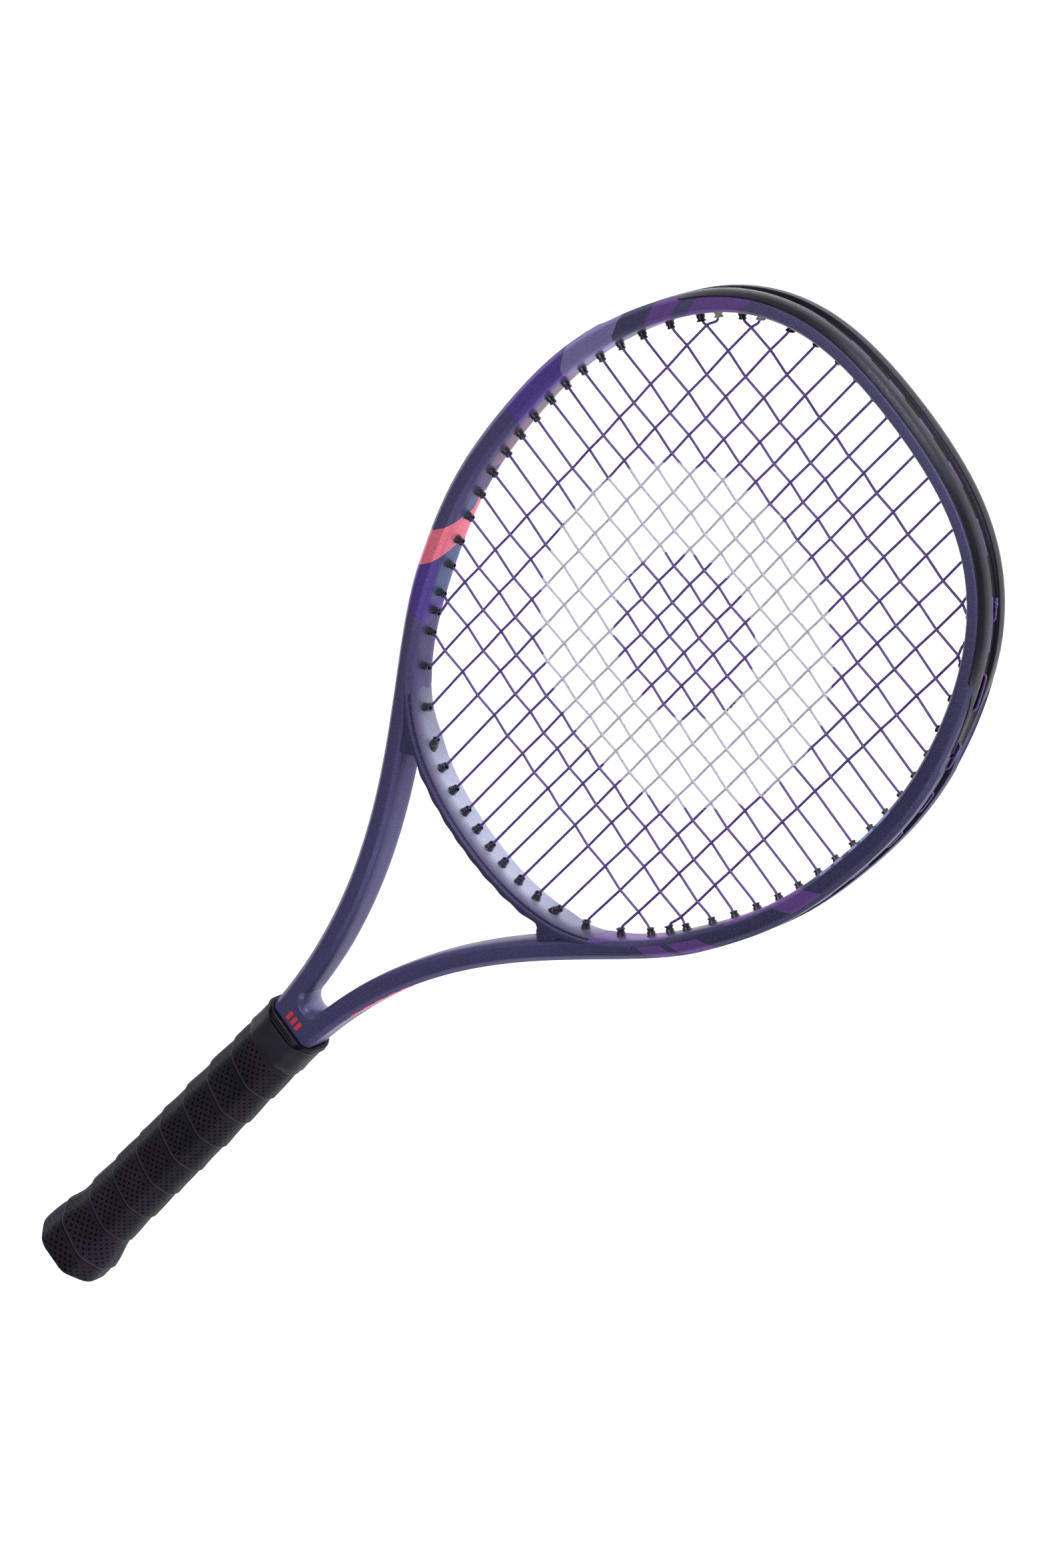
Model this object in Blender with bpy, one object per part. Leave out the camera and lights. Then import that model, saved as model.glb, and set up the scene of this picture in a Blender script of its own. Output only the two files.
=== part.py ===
"""A strung tennis racket, built as the separate pieces it comes apart into.

Frame of the part: the origin is the centre of the butt's end face, +X runs along
the handle to the tip of the head, +Y is the left side of the head and +Z is the
normal of the string bed. Dimensions below are in millimetres, and every mesh is
written in metres.
"""
import math

import bmesh
import bpy
from mathutils import Vector

MM = 0.001
GAP = 0.3                       # clearance between two pieces that touch

# Centre line of the hoop: its distance from one point, as a sum of cosines
HOOP_CENTRE_X = 515.0
HOOP_TERMS = (148.2, 4.3, 18.8, -2.3, -0.6, -0.6, -1.5, 0.1, -0.85)

# Frame tube: half width across the face plane and half height of the beam
HOOP_HALF_WIDTH = 5.3
SHAFT_HALF_WIDTH = 5.5
SHAFT_FOOT_HALF_WIDTH = 5.0
LEG_HALF_WIDTH = 4.2
HOOP_HALF_HEIGHT = 10.7
SHAFT_HALF_HEIGHT = 9.3
LEG_HALF_HEIGHT = 8.0
GROOVE_DEPTH = 2.9              # string groove in the hoop's outer wall
GROOVE_HALF_HEIGHT = 3.2
BUMPER_RECESS = 1.3             # shallow step that the bumper guard sits in

# Plan of one half of the frame tube, from the butt to the hoop
LEG_START_X = 18.0
LEG_END_X = 192.0
LEG_OFFSET_Y = 7.6
SHAFT_FOOT_Y = 8.75             # the legs swell and spread as they leave the handle
LEG_MARKS = (0.0, 0.92, 0.96)
SHAFT_REACH = 124.5             # handle of the shaft's curve at the leg
JOIN_REACH = 57.0               # handle of the shaft's curve at the hoop
JOIN_ANGLE = math.radians(128.6)

SHAFT_STEPS = 13
HOOP_STEPS = 26

# Throat bridge
BRIDGE_THICKNESS = 6.6
BRIDGE_HALF_HEIGHT = 10.2
BRIDGE_GROOVE_DEPTH = 2.0
WEB_START_Y = 46.8              # here the bridge thickens to meet the shaft
WEB_FULL_Y = 51.0
BRIDGE_END_ANGLE = 27.0         # degrees from the middle of the bridge
CORE_END_ANGLE = 14.5

# String pattern
MAIN_OFFSETS = (5.2, 15.4, 26.9, 38.3, 51.1, 64.1, 77.8, 93.4)
MAIN_FAN = 0.000086             # relative spread of the mains for each mm of x
MAIN_FAN_X = 520.0
CROSS_FIRST_X = 405.2
CROSS_GAPS = (17.6, 13.6, 12.2, 12.4, 12.8, 12.5, 12.8, 11.9, 12.2, 12.5, 11.6, 11.9, 11.8, 12.2,
              13.4, 14.3, 15.5, 17.8)
BRIDGE_MAINS = 5                # mains of each half that end in the bridge
CANTED_EXIT_Y = 46.6            # where the outermost bridge main comes out
STEERED_HEAD = {6: 30.5, 7: 38.8}       # holes set off their string's line, in degrees
STEERED_SIDE = {15: 55.0, 16: 48.8, 17: 42.4, 18: 34.1}
STEERED_THROAT = {7: 136.4}
STRING_RADIUS = 0.63
WEAVE_HEIGHT = 1.38
STEEP_REACH = 7.0               # a crossing this near a barrel is lifted a little more
STEEP_GAIN = 1.3
LANE_OFFSET = 1.5               # loops of mains and crosses run side by side

# Grommets
BARREL_PROUD = 3.6
BARREL_HALF = 1.85
BARREL_BORE_HALF = 1.4
FRAME_HOLE_HALF = 2.15
MOUTH_SHIFT = 0.6               # a string leans on the side of the bore it bends round
MOUTH_LEAD = 1.0                # and bends this far ahead of the barrel
STRIP_FLOOR_GAP = 0.3
STRIP_THICKNESS = 0.8
STRIP_HALF_HEIGHT = 2.85
CHANNEL_HALF_HEIGHT = 2.3
LOOP_CLEARANCE = 0.4
BUMPER_ANGLE = math.radians(56.5)
SIDE_STRIP_ANGLE = math.radians(57.8)
SIDE_STRIP_START = 1.60         # place along the frame's half path
GROOVE_START = (1.45, 1.53)

# Handle, as octagons: x, half width, half height
FLAT_SHARE_Y = 0.49
FLAT_SHARE_Z = 0.375
CAP_OUTER = ((0.0, 17.9, 15.9), (2.0, 18.4, 16.4), (13.0, 18.5, 16.5), (31.0, 15.35, 13.35))
CAP_INNER = ((31.0, 14.6, 12.6), (4.0, 14.6, 12.6))
WRAP_INNER = ((1.8, 18.7, 16.7), (13.0, 18.8, 16.8), (32.0, 15.6, 13.6), (180.0, 15.35, 13.35),
              (192.0, 15.3, 13.3))
WRAP_OUTER = ((1.8, 19.9, 17.9), (4.0, 20.4, 18.4), (13.0, 20.4, 18.4), (22.0, 19.2, 17.1),
              (34.0, 17.1, 15.0), (180.0, 17.0, 14.9), (192.0, 15.9, 13.9))
TAPE_INNER = ((186.5, 16.8, 14.75), (192.3, 16.25, 14.25), (197.0, 16.0, 14.0))
TAPE_OUTER = ((186.5, 17.2, 15.15), (192.3, 16.65, 14.65), (197.0, 16.4, 14.4))
COLLAR_INNER = ((197.6, 14.9, 10.6, 0.72, 0.62), (205.5, 14.8, 10.1, 0.78, 0.67))
COLLAR_OUTER = ((197.6, 16.9, 14.5), (200.0, 17.3, 14.6), (203.5, 17.2, 13.6, 0.6, 0.5),
                (205.5, 16.2, 11.7, 0.75, 0.6))
PALLET_STATIONS = ((12.0, 14.3, 12.3), (31.3, 14.3, 12.3), (31.6, 15.0, 13.0), (177.5, 15.0, 13.0))
PALLET_SPLIT = 0.15
SPACER_X = (30.0, 177.0)
WEDGE_START_X = 194.0
WEDGE_TIP_X = 219.5
WEDGE_CROTCH_X = 216.6
PLUG_X = (19.0, 34.0)
EMBLEM_RECESS = (1.2, 11.3, 9.8)
EMBLEM = (0.9, 11.0, 9.5)

# Staples of the butt cap
STAPLE_X = 22.0
STAPLE_YS = (-4.3, 4.3)
STAPLE_HALF_SPAN = 2.8
STAPLE_WIRE = 0.6
STAPLE_TOP_Z = 14.7
STAPLE_FOOT_Z = 10.7


# ---------------------------------------------------------------- curves

def ramp(value, start, end):
    """Smooth step from 0 at start to 1 at end."""
    share = min(1.0, max(0.0, (value - start) / (end - start)))
    return share * share * (3.0 - 2.0 * share)


def hoop_point(angle):
    radius = sum(term * math.cos(order * angle) for order, term in enumerate(HOOP_TERMS))
    return Vector((HOOP_CENTRE_X + radius * math.cos(angle), radius * math.sin(angle)))


def hoop_normal(angle, step=0.002):
    run = hoop_point(angle + step) - hoop_point(angle - step)
    return Vector((run.y, -run.x)).normalized()


def hoop_offset(angle, offset):
    return hoop_point(angle) + offset * hoop_normal(angle)


def shaft_point(share):
    """Cubic curve from the end of a leg to the hoop, tangent to both."""
    join = hoop_point(JOIN_ANGLE)
    normal = hoop_normal(JOIN_ANGLE)
    tangent = Vector((normal.y, -normal.x))
    start = Vector((LEG_END_X, SHAFT_FOOT_Y))
    handle_a = start + Vector((SHAFT_REACH, 0.0))
    handle_b = join - JOIN_REACH * tangent
    rest = 1.0 - share
    return (rest ** 3 * start + 3 * rest ** 2 * share * handle_a
            + 3 * rest * share ** 2 * handle_b + share ** 3 * join)


def swell(place):
    return ramp(place, LEG_MARKS[1], 1.0)


def frame_point(place):
    """Centre line of the frame tube: 0 to 1 leg, 1 to 2 shaft, 2 to 3 hoop, then mirrored."""
    if place > 3.0:
        mirrored = frame_point(6.0 - place)
        return Vector((mirrored.x, -mirrored.y))
    if place >= 2.0:
        return hoop_point(JOIN_ANGLE * (3.0 - place))
    if place >= 1.0:
        return shaft_point(place - 1.0)
    x = LEG_START_X + (LEG_END_X - LEG_START_X) * place
    return Vector((x, LEG_OFFSET_Y + (SHAFT_FOOT_Y - LEG_OFFSET_Y) * swell(place)))


def frame_normal(place, step=0.002):
    run = frame_point(min(6.0, place + step)) - frame_point(max(0.0, place - step))
    return Vector((-run.y, run.x)).normalized()


def frame_offset(place, offset):
    return frame_point(place) + offset * frame_normal(place)


def half_place(place):
    return 6.0 - place if place > 3.0 else place


def place_of_angle(angle):
    return 3.0 - angle / JOIN_ANGLE


def half_width(place):
    place = half_place(place)
    width = LEG_HALF_WIDTH + (SHAFT_FOOT_HALF_WIDTH - LEG_HALF_WIDTH) * swell(place)
    width += (SHAFT_HALF_WIDTH - SHAFT_FOOT_HALF_WIDTH) * ramp(place, 1.0, 1.2)
    return width + (HOOP_HALF_WIDTH - SHAFT_HALF_WIDTH) * ramp(place, 1.6, 2.0)


def half_height(place):
    place = half_place(place)
    height = LEG_HALF_HEIGHT + (SHAFT_HALF_HEIGHT - LEG_HALF_HEIGHT) * swell(place)
    return height + (HOOP_HALF_HEIGHT - SHAFT_HALF_HEIGHT) * ramp(place, 1.1, 2.0)


def groove_share(place):
    return ramp(half_place(place), *GROOVE_START)


def recess_share(place):
    angle = JOIN_ANGLE * (3.0 - half_place(place))
    return 1.0 - ramp(angle, BUMPER_ANGLE + 0.02, BUMPER_ANGLE + 0.08)


# ---------------------------------------------------------------- sections

def mirrored_section(half):
    """Closed section from its upper half, listed from the outer to the inner side."""
    return half + [(n, -z) for n, z in reversed(half)]


def frame_section(place):
    width = half_width(place)
    height = half_height(place)
    groove = GROOVE_DEPTH * groove_share(place)
    recess = BUMPER_RECESS * recess_share(place) * groove_share(place)
    return mirrored_section([
        (width - groove, GROOVE_HALF_HEIGHT),
        (width - recess, GROOVE_HALF_HEIGHT + 0.3),
        (width - recess, height - 3.1),
        (width - 0.55, height - 2.5),
        (width - 2.8, height),
        (2.6 - width, height),
        (0.5 - width, height - 2.6),
        (-width, height - 5.6),
    ])


def cavity_section(place):
    width = half_width(place)
    height = half_height(place)
    groove = GROOVE_DEPTH * groove_share(place)
    return mirrored_section([
        (width - 1.2 - groove, GROOVE_HALF_HEIGHT + 1.0),
        (width - 3.2, height - 2.0),
        (3.3 - width, height - 1.3),
        (1.3 - width, height - 4.2),
    ])


def section_ring(plane_point, normal, section):
    """Points of a section in space: n runs along the normal, z is the part's own Z."""
    return [Vector((plane_point.x + n * normal.x, plane_point.y + n * normal.y, z))
            for n, z in section]


def frame_ring(place, section):
    return section_ring(frame_point(place), frame_normal(place), section)


# ---------------------------------------------------------------- meshes

def material(name, colour, roughness, metallic):
    made = bpy.data.materials.new(name)
    made.use_nodes = True
    shader = made.node_tree.nodes["Principled BSDF"]
    shader.inputs["Base Color"].default_value = (*colour, 1.0)
    shader.inputs["Roughness"].default_value = roughness
    shader.inputs["Metallic"].default_value = metallic
    return made


def make_object(name, mesh_data, finish=None):
    mesh = bpy.data.meshes.new(name)
    mesh_data.to_mesh(mesh)
    mesh_data.free()
    made = bpy.data.objects.new(name, mesh)
    bpy.context.scene.collection.objects.link(made)
    if finish is not None:
        mesh.materials.append(material(name, *finish))
    return made


def add_face(mesh_data, corners):
    if len(set(corners)) > 2:
        mesh_data.faces.new(corners)


def loft(rings, wrap=False):
    """Skin a row of rings. With wrap the last ring meets the first, else both ends are capped."""
    mesh_data = bmesh.new()
    rows = [[mesh_data.verts.new(point * MM) for point in ring] for ring in rings]
    pairs = list(zip(rows, rows[1:]))
    if wrap:
        pairs.append((rows[-1], rows[0]))
    count = len(rings[0])
    for row, following in pairs:
        for index in range(count):
            after = (index + 1) % count
            add_face(mesh_data, (row[index], row[after], following[after], following[index]))
    if not wrap:
        mesh_data.faces.new(list(reversed(rows[0])))
        mesh_data.faces.new(rows[-1])
    bmesh.ops.recalc_face_normals(mesh_data, faces=mesh_data.faces)
    if mesh_data.calc_volume(signed=True) < 0:
        bmesh.ops.reverse_faces(mesh_data, faces=mesh_data.faces)
    return mesh_data


def merge(mesh_list):
    """One mesh holding several loose bodies, such as a row of cutters."""
    merged = bmesh.new()
    for mesh_data in mesh_list:
        scratch = bpy.data.meshes.new("scratch")
        mesh_data.to_mesh(scratch)
        mesh_data.free()
        merged.from_mesh(scratch)
        bpy.data.meshes.remove(scratch)
    return merged


def combine(target, tool_mesh, operation):
    """Apply one Boolean to an object and drop the tool."""
    tool = make_object("tool", tool_mesh)
    tool.hide_render = True
    tool.display_type = "WIRE"
    modifier = target.modifiers.new(operation.lower(), "BOOLEAN")
    modifier.operation = operation
    modifier.solver = "EXACT"
    modifier.object = tool
    bpy.context.view_layer.update()
    graph = bpy.context.evaluated_depsgraph_get()
    result = bpy.data.meshes.new_from_object(target.evaluated_get(graph))
    old = target.data
    target.modifiers.clear()
    target.data = result
    result.name = target.name
    bpy.data.meshes.remove(old)
    bpy.data.objects.remove(tool)


def soften(target, angle_degrees=35.0):
    target.data.shade_smooth()
    target.data.set_sharp_from_angle(angle=math.radians(angle_degrees))


def prism(start, end, half):
    """Square bar between two points of the string plane."""
    along = (end - start).normalized()
    side = Vector((-along.y, along.x))
    corners = ((half, half), (half, -half), (-half, -half), (-half, half))
    rings = []
    for point in (start, end):
        rings.append([Vector((point.x + a * side.x, point.y + a * side.y, b))
                      for a, b in corners])
    return loft(rings)


def box(low, high):
    rings = []
    for x in (low[0], high[0]):
        rings.append([Vector((x, low[1], low[2])), Vector((x, high[1], low[2])),
                      Vector((x, high[1], high[2])), Vector((x, low[1], high[2]))])
    return loft(rings)


def octagon(x, half_y, half_z, share_y=FLAT_SHARE_Y, share_z=FLAT_SHARE_Z):
    flat_y = share_y * half_y
    flat_z = share_z * half_z
    corners = ((half_y, flat_z), (flat_y, half_z), (-flat_y, half_z), (-half_y, flat_z),
               (-half_y, -flat_z), (-flat_y, -half_z), (flat_y, -half_z), (half_y, -flat_z))
    return [Vector((x, y, z)) for y, z in corners]


def octagon_shell(outer, inner, wrap=True):
    rings = [octagon(*station) for station in outer]
    if wrap:
        rings += [octagon(*station) for station in reversed(inner)]
    else:
        rings += [octagon(*station) for station in inner]
    return loft(rings, wrap=wrap)


def tube_along(points, radii):
    """Four-sided bar of varying radius along a path in space."""
    rings = []
    side = None
    for index, point in enumerate(points):
        before = points[max(0, index - 1)]
        after = points[min(len(points) - 1, index + 1)]
        into = (point - before).normalized() if index else (after - point).normalized()
        out = (after - point).normalized() if index < len(points) - 1 else into
        tangent = (into + out).normalized()
        if side is None:
            side = tangent.cross(Vector((0.0, 0.0, 1.0))).normalized()
        side = (side - tangent * side.dot(tangent)).normalized()
        rise = tangent.cross(side).normalized()
        stretch = 1.0 / max(0.7, into.dot(tangent))
        bend = out - into
        lean = bend.normalized() if bend.length > 1e-6 else side
        ring = []
        for quarter in range(4):
            turn = quarter * math.pi / 2.0
            arm = math.cos(turn) * side + math.sin(turn) * rise
            arm = arm + lean * arm.dot(lean) * (stretch - 1.0)
            ring.append(point + radii[index] * arm)
        rings.append(ring)
    return loft(rings)


# ---------------------------------------------------------------- string pattern

def root_between(function, low, high, rounds=50):
    """Bisection for the place where a function changes sign."""
    low_sign = function(low) > 0
    for _ in range(rounds):
        middle = 0.5 * (low + high)
        if (function(middle) > 0) == low_sign:
            low = middle
        else:
            high = middle
    return 0.5 * (low + high)


def barrel_tip(angle):
    return hoop_offset(angle, -HOOP_HALF_WIDTH - BARREL_PROUD)


def main_y(index, x):
    return MAIN_OFFSETS[index] * (1.0 + MAIN_FAN * (x - MAIN_FAN_X))


def cross_x(index):
    return CROSS_FIRST_X + sum(CROSS_GAPS[:index])


def curve_hit(curve, origin, direction):
    """Where a straight line from origin first meets a curve of (place, point) pairs."""
    side = Vector((-direction.y, direction.x))
    for (place_a, point_a), (place_b, point_b) in zip(curve, curve[1:]):
        off_a = (point_a - origin).dot(side)
        off_b = (point_b - origin).dot(side)
        if off_a * off_b > 0 or off_a == off_b:
            continue
        share = off_a / (off_a - off_b)
        point = point_a.lerp(point_b, share)
        if (point - origin).dot(direction) > 0:
            return place_a + share * (place_b - place_a), point
    raise ValueError("the line misses the curve")


def strip_top(offset_base, depth):
    return offset_base - depth + STRIP_FLOOR_GAP + STRIP_THICKNESS


LOOP_OFFSET = strip_top(HOOP_HALF_WIDTH, GROOVE_DEPTH) + LOOP_CLEARANCE + STRING_RADIUS
BRIDGE_OUTER = BRIDGE_THICKNESS - HOOP_HALF_WIDTH
BRIDGE_LOOP = strip_top(BRIDGE_OUTER, BRIDGE_GROOVE_DEPTH) + LOOP_CLEARANCE + STRING_RADIUS
FINE_STEPS = 700
FRAME_LOOP_CURVE = [(place, frame_offset(place, LOOP_OFFSET))
                    for place in (1.4 + 1.62 * step / FINE_STEPS for step in range(FINE_STEPS))]
FRAME_INNER_CURVE = [(place, frame_offset(place, -half_width(place)))
                     for place in (1.0 + 1.0 * step / FINE_STEPS for step in range(FINE_STEPS))]
BRIDGE_LOOP_CURVE = [(angle, hoop_offset(angle, BRIDGE_LOOP))
                     for angle in (math.pi * (0.8 + 0.2 * step / FINE_STEPS)
                                   for step in range(FINE_STEPS + 1))]


def lean(angle, heading):
    """Shift of a string at its barrel's mouth, towards the side that the string bends to."""
    normal = hoop_normal(angle)
    tangent = Vector((normal.y, -normal.x))
    share = max(-1.0, min(1.0, 2.5 * tangent.dot(heading)))
    return MOUTH_SHIFT * share * tangent


class Hole:
    """One string hole on the left half: barrel tip, direction out, and where the string turns."""

    def __init__(self, angle, in_bridge, heading, canted=False):
        self.angle = angle
        self.in_bridge = in_bridge
        self.tip = barrel_tip(angle)
        self.mouth = self.tip + lean(angle, heading) - MOUTH_LEAD * hoop_normal(angle)
        self.direction = hoop_normal(angle)
        if canted:
            turn_angle = root_between(
                lambda a: hoop_offset(a, BRIDGE_LOOP).y - CANTED_EXIT_Y, 0.8 * math.pi, math.pi)
            self.direction = (hoop_offset(turn_angle, BRIDGE_LOOP) - self.tip).normalized()
        curve = BRIDGE_LOOP_CURVE if in_bridge else FRAME_LOOP_CURVE
        self.place, self.exit = curve_hit(curve, self.tip, self.direction)

    def bar(self, back, ahead, half, mirror):
        """Square bar along the hole, from behind its tip to beyond its turning point."""
        start = self.tip - back * self.direction
        end = self.exit + ahead * self.direction
        if mirror:
            start = Vector((start.x, -start.y))
            end = Vector((end.x, -end.y))
        return prism(start, end, half)


DOWN = Vector((-1.0, 0.0))
UP = Vector((1.0, 0.0))
ACROSS = Vector((0.0, -1.0))


def head_hole(index):
    def miss(angle):
        mouth = barrel_tip(angle) + lean(angle, DOWN)
        return mouth.y - main_y(index, mouth.x)
    angle = root_between(miss, 0.0, math.radians(100.0))
    if index in STEERED_HEAD:
        angle = math.radians(STEERED_HEAD[index])
    return Hole(angle, False, DOWN)


def throat_hole(index):
    def miss(angle):
        mouth = barrel_tip(angle) + lean(angle, UP)
        return mouth.y - main_y(index, mouth.x)
    angle = root_between(miss, math.pi, math.radians(110.0))
    if index in STEERED_THROAT:
        angle = math.radians(STEERED_THROAT[index])
    return Hole(angle, index < BRIDGE_MAINS, UP, canted=index == BRIDGE_MAINS - 1)


def side_hole(index):
    def miss(angle):
        mouth = barrel_tip(angle) + lean(angle, ACROSS)
        return mouth.x - cross_x(index)
    angle = root_between(miss, math.radians(20.0), math.radians(170.0))
    if index in STEERED_SIDE:
        angle = math.radians(STEERED_SIDE[index])
    return Hole(angle, False, ACROSS)


CROSS_COUNT = len(CROSS_GAPS) + 1
HEAD_HOLES = [head_hole(index) for index in range(len(MAIN_OFFSETS))]
THROAT_HOLES = [throat_hole(index) for index in range(len(MAIN_OFFSETS))]
SIDE_HOLES = [side_hole(index) for index in range(CROSS_COUNT)]
BUMPER_HOLES = [hole for hole in HEAD_HOLES + SIDE_HOLES if hole.angle < BUMPER_ANGLE]
STRIP_HOLES = ([hole for hole in SIDE_HOLES if hole.angle >= BUMPER_ANGLE]
               + THROAT_HOLES[BRIDGE_MAINS:])
FRAME_HOLES = BUMPER_HOLES + STRIP_HOLES
BRIDGE_HOLES = THROAT_HOLES[:BRIDGE_MAINS + 1]


def hole_bars(holes, back, ahead, half):
    return [hole.bar(back, ahead, half, mirror) for hole in holes for mirror in (False, True)]


# ---------------------------------------------------------------- carbon frame

def frame_places():
    places = list(LEG_MARKS)
    places += [1.0 + step / SHAFT_STEPS for step in range(SHAFT_STEPS)]
    places += [2.0 + step / HOOP_STEPS for step in range(HOOP_STEPS)]
    return places + [3.0] + [6.0 - place for place in reversed(places)]


def build_frame():
    """One carbon tube bent into a hairpin: two legs, two shafts and the hoop."""
    places = frame_places()
    made = make_object("frame_hairpin", loft([frame_ring(p, frame_section(p)) for p in places]),
                       ((0.055, 0.045, 0.105), 0.42, 0.35))
    cavity = [frame_ring(p, cavity_section(p)) for p in places]
    reach = Vector((2.0, 0.0, 0.0))
    cavity[0] = [point - reach for point in cavity[0]]
    cavity[-1] = [point - reach for point in cavity[-1]]
    combine(made, loft(cavity), "DIFFERENCE")
    combine(made, merge(hole_bars(FRAME_HOLES, 0.0, 3.0, FRAME_HOLE_HALF)), "DIFFERENCE")
    soften(made)


def bridge_outer(angle):
    """Outer side of the bridge, measured from the hoop's centre line."""
    inner = hoop_offset(angle, -HOOP_HALF_WIDTH)
    if abs(inner.y) < WEB_START_Y:
        return BRIDGE_OUTER
    left = Vector((inner.x, abs(inner.y)))
    normal = hoop_normal(angle)
    outward = Vector((normal.x, abs(normal.y)))
    _, point = curve_hit(FRAME_INNER_CURVE, left, outward)
    room = (point - left).length - GAP - HOOP_HALF_WIDTH
    return BRIDGE_OUTER + (room - BRIDGE_OUTER) * ramp(abs(inner.y), WEB_START_Y, WEB_FULL_Y)


def bridge_section(angle):
    outer = bridge_outer(angle)
    height = BRIDGE_HALF_HEIGHT
    in_gap = abs(hoop_offset(angle, -HOOP_HALF_WIDTH).y) < WEB_START_Y + 1.0
    groove = BRIDGE_GROOVE_DEPTH if in_gap else 0.0
    shoulder = min(2.4, 0.35 * (outer + HOOP_HALF_WIDTH))
    return mirrored_section([
        (outer - groove, GROOVE_HALF_HEIGHT),
        (outer, GROOVE_HALF_HEIGHT + 0.3),
        (outer, height - 3.0),
        (outer - shoulder, height),
        (shoulder - HOOP_HALF_WIDTH, height),
        (-HOOP_HALF_WIDTH, height - 3.4),
    ])


def bridge_core_section(inset):
    """Hollow of the bridge, or with an inset the foam bar that fills it."""
    height = BRIDGE_HALF_HEIGHT
    floor = BRIDGE_OUTER - BRIDGE_GROOVE_DEPTH
    return mirrored_section([
        (floor - 1.2 - inset, GROOVE_HALF_HEIGHT + 1.0 + inset),
        (BRIDGE_OUTER - 1.5 - inset, height - 3.2 - inset),
        (2.4 - HOOP_HALF_WIDTH + inset, height - 1.6 - inset),
        (1.2 - HOOP_HALF_WIDTH + inset, height - 4.2 - inset),
    ])


def bridge_angles():
    marks = [0.0, 4.0, 8.0, 12.0, 15.0, 17.4, 18.4, 20.0, 22.5, 25.0, BRIDGE_END_ANGLE]
    left = [math.pi - math.radians(mark) for mark in reversed(marks)]
    return left + [math.pi + math.radians(mark) for mark in marks[1:]]


def core_rings(end_angle, inset):
    steps = 6
    rings = []
    for step in range(-steps, steps + 1):
        angle = math.pi + math.radians(end_angle) * step / steps
        rings.append(section_ring(hoop_point(angle), hoop_normal(angle),
                                  bridge_core_section(inset)))
    return rings


def build_bridge():
    rings = [section_ring(hoop_point(a), hoop_normal(a), bridge_section(a))
             for a in bridge_angles()]
    made = make_object("throat_bridge", loft(rings), ((0.10, 0.09, 0.16), 0.42, 0.35))
    combine(made, loft(core_rings(CORE_END_ANGLE, 0.0)), "DIFFERENCE")
    combine(made, merge(hole_bars(BRIDGE_HOLES, 1.0, 3.0, FRAME_HOLE_HALF)), "DIFFERENCE")
    soften(made)

    core = make_object("bridge_foam_core", loft(core_rings(CORE_END_ANGLE - 0.15, GAP)),
                       ((0.75, 0.72, 0.62), 0.9, 0.0))
    combine(core, merge(hole_bars(BRIDGE_HOLES[:BRIDGE_MAINS], 1.0, 3.0, FRAME_HOLE_HALF)),
            "DIFFERENCE")


def shaft_inner_y(x):
    place = root_between(lambda p: frame_offset(p, -half_width(p)).x - x, 1.0, 1.9)
    return frame_offset(place, -half_width(place)).y


def build_throat_wedge():
    """Moulded filler that closes the fork where the two shafts meet."""
    side = []
    for x in (WEDGE_START_X, 200.0, 208.0, 214.0, WEDGE_TIP_X):
        side.append(Vector((x, shaft_inner_y(x) - GAP)))
    tip_y = side[-1].y
    crotch = []
    for step in range(1, 6):
        y = tip_y * (1.0 - step / 3.0)
        bow = 1.0 - (y / tip_y) ** 2
        crotch.append(Vector((WEDGE_TIP_X - (WEDGE_TIP_X - WEDGE_CROTCH_X) * bow, y)))
    outline = side + crotch + [Vector((p.x, -p.y)) for p in reversed(side)]
    height = SHAFT_HALF_HEIGHT - 0.2
    rings = [[Vector((p.x, p.y, z)) for p in outline] for z in (-height, height)]
    made = make_object("throat_wedge", loft(rings), ((0.07, 0.06, 0.13), 0.42, 0.35))
    soften(made)


def build_plugs():
    """Foam plugs that stop the open ends of the tube."""
    section = [(0.86 * n, 0.92 * z) for n, z in cavity_section(0.0)]
    for name, sign in (("hairpin_plug_left", 1.0), ("hairpin_plug_right", -1.0)):
        rings = []
        for x in PLUG_X:
            rings.append([Vector((x, sign * (LEG_OFFSET_Y + n), z)) for n, z in section])
        make_object(name, loft(rings), ((0.78, 0.75, 0.66), 0.9, 0.0))


# ---------------------------------------------------------------- grommets

def strip_section(offset_base, depth):
    floor = offset_base - depth + STRIP_FLOOR_GAP
    top = floor + STRIP_THICKNESS
    return [(floor, STRIP_HALF_HEIGHT), (top, STRIP_HALF_HEIGHT),
            (top, -STRIP_HALF_HEIGHT), (floor, -STRIP_HALF_HEIGHT)]


def bumper_section(place):
    height = half_height(place)
    floor = HOOP_HALF_WIDTH - GROOVE_DEPTH + STRIP_FLOOR_GAP
    rail_floor = HOOP_HALF_WIDTH - BUMPER_RECESS + STRIP_FLOOR_GAP
    rail_top = HOOP_HALF_WIDTH
    rail_edge = height - 3.45
    return mirrored_section([
        (floor + STRIP_THICKNESS, CHANNEL_HALF_HEIGHT),
        (rail_top, STRIP_HALF_HEIGHT + 0.05),
        (rail_top, rail_edge - 1.2),
        (rail_top - 0.35, rail_edge),
        (rail_floor, rail_edge),
        (rail_floor, GROOVE_HALF_HEIGHT),
        (floor, STRIP_HALF_HEIGHT),
    ])


def add_barrels(made, holes, mirrors):
    """Barrels lead each string through the frame, so the strip is bored along every hole."""
    depth_back = LOOP_CLEARANCE + STRING_RADIUS + 0.5 * STRIP_THICKNESS
    barrels = [hole.bar(0.0, -depth_back, BARREL_HALF, mirror)
               for hole in holes for mirror in mirrors]
    combine(made, merge(barrels), "UNION")
    bores = [hole.bar(1.0, 2.0, BARREL_BORE_HALF, mirror)
             for hole in holes for mirror in mirrors]
    combine(made, merge(bores), "DIFFERENCE")
    soften(made)


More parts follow.
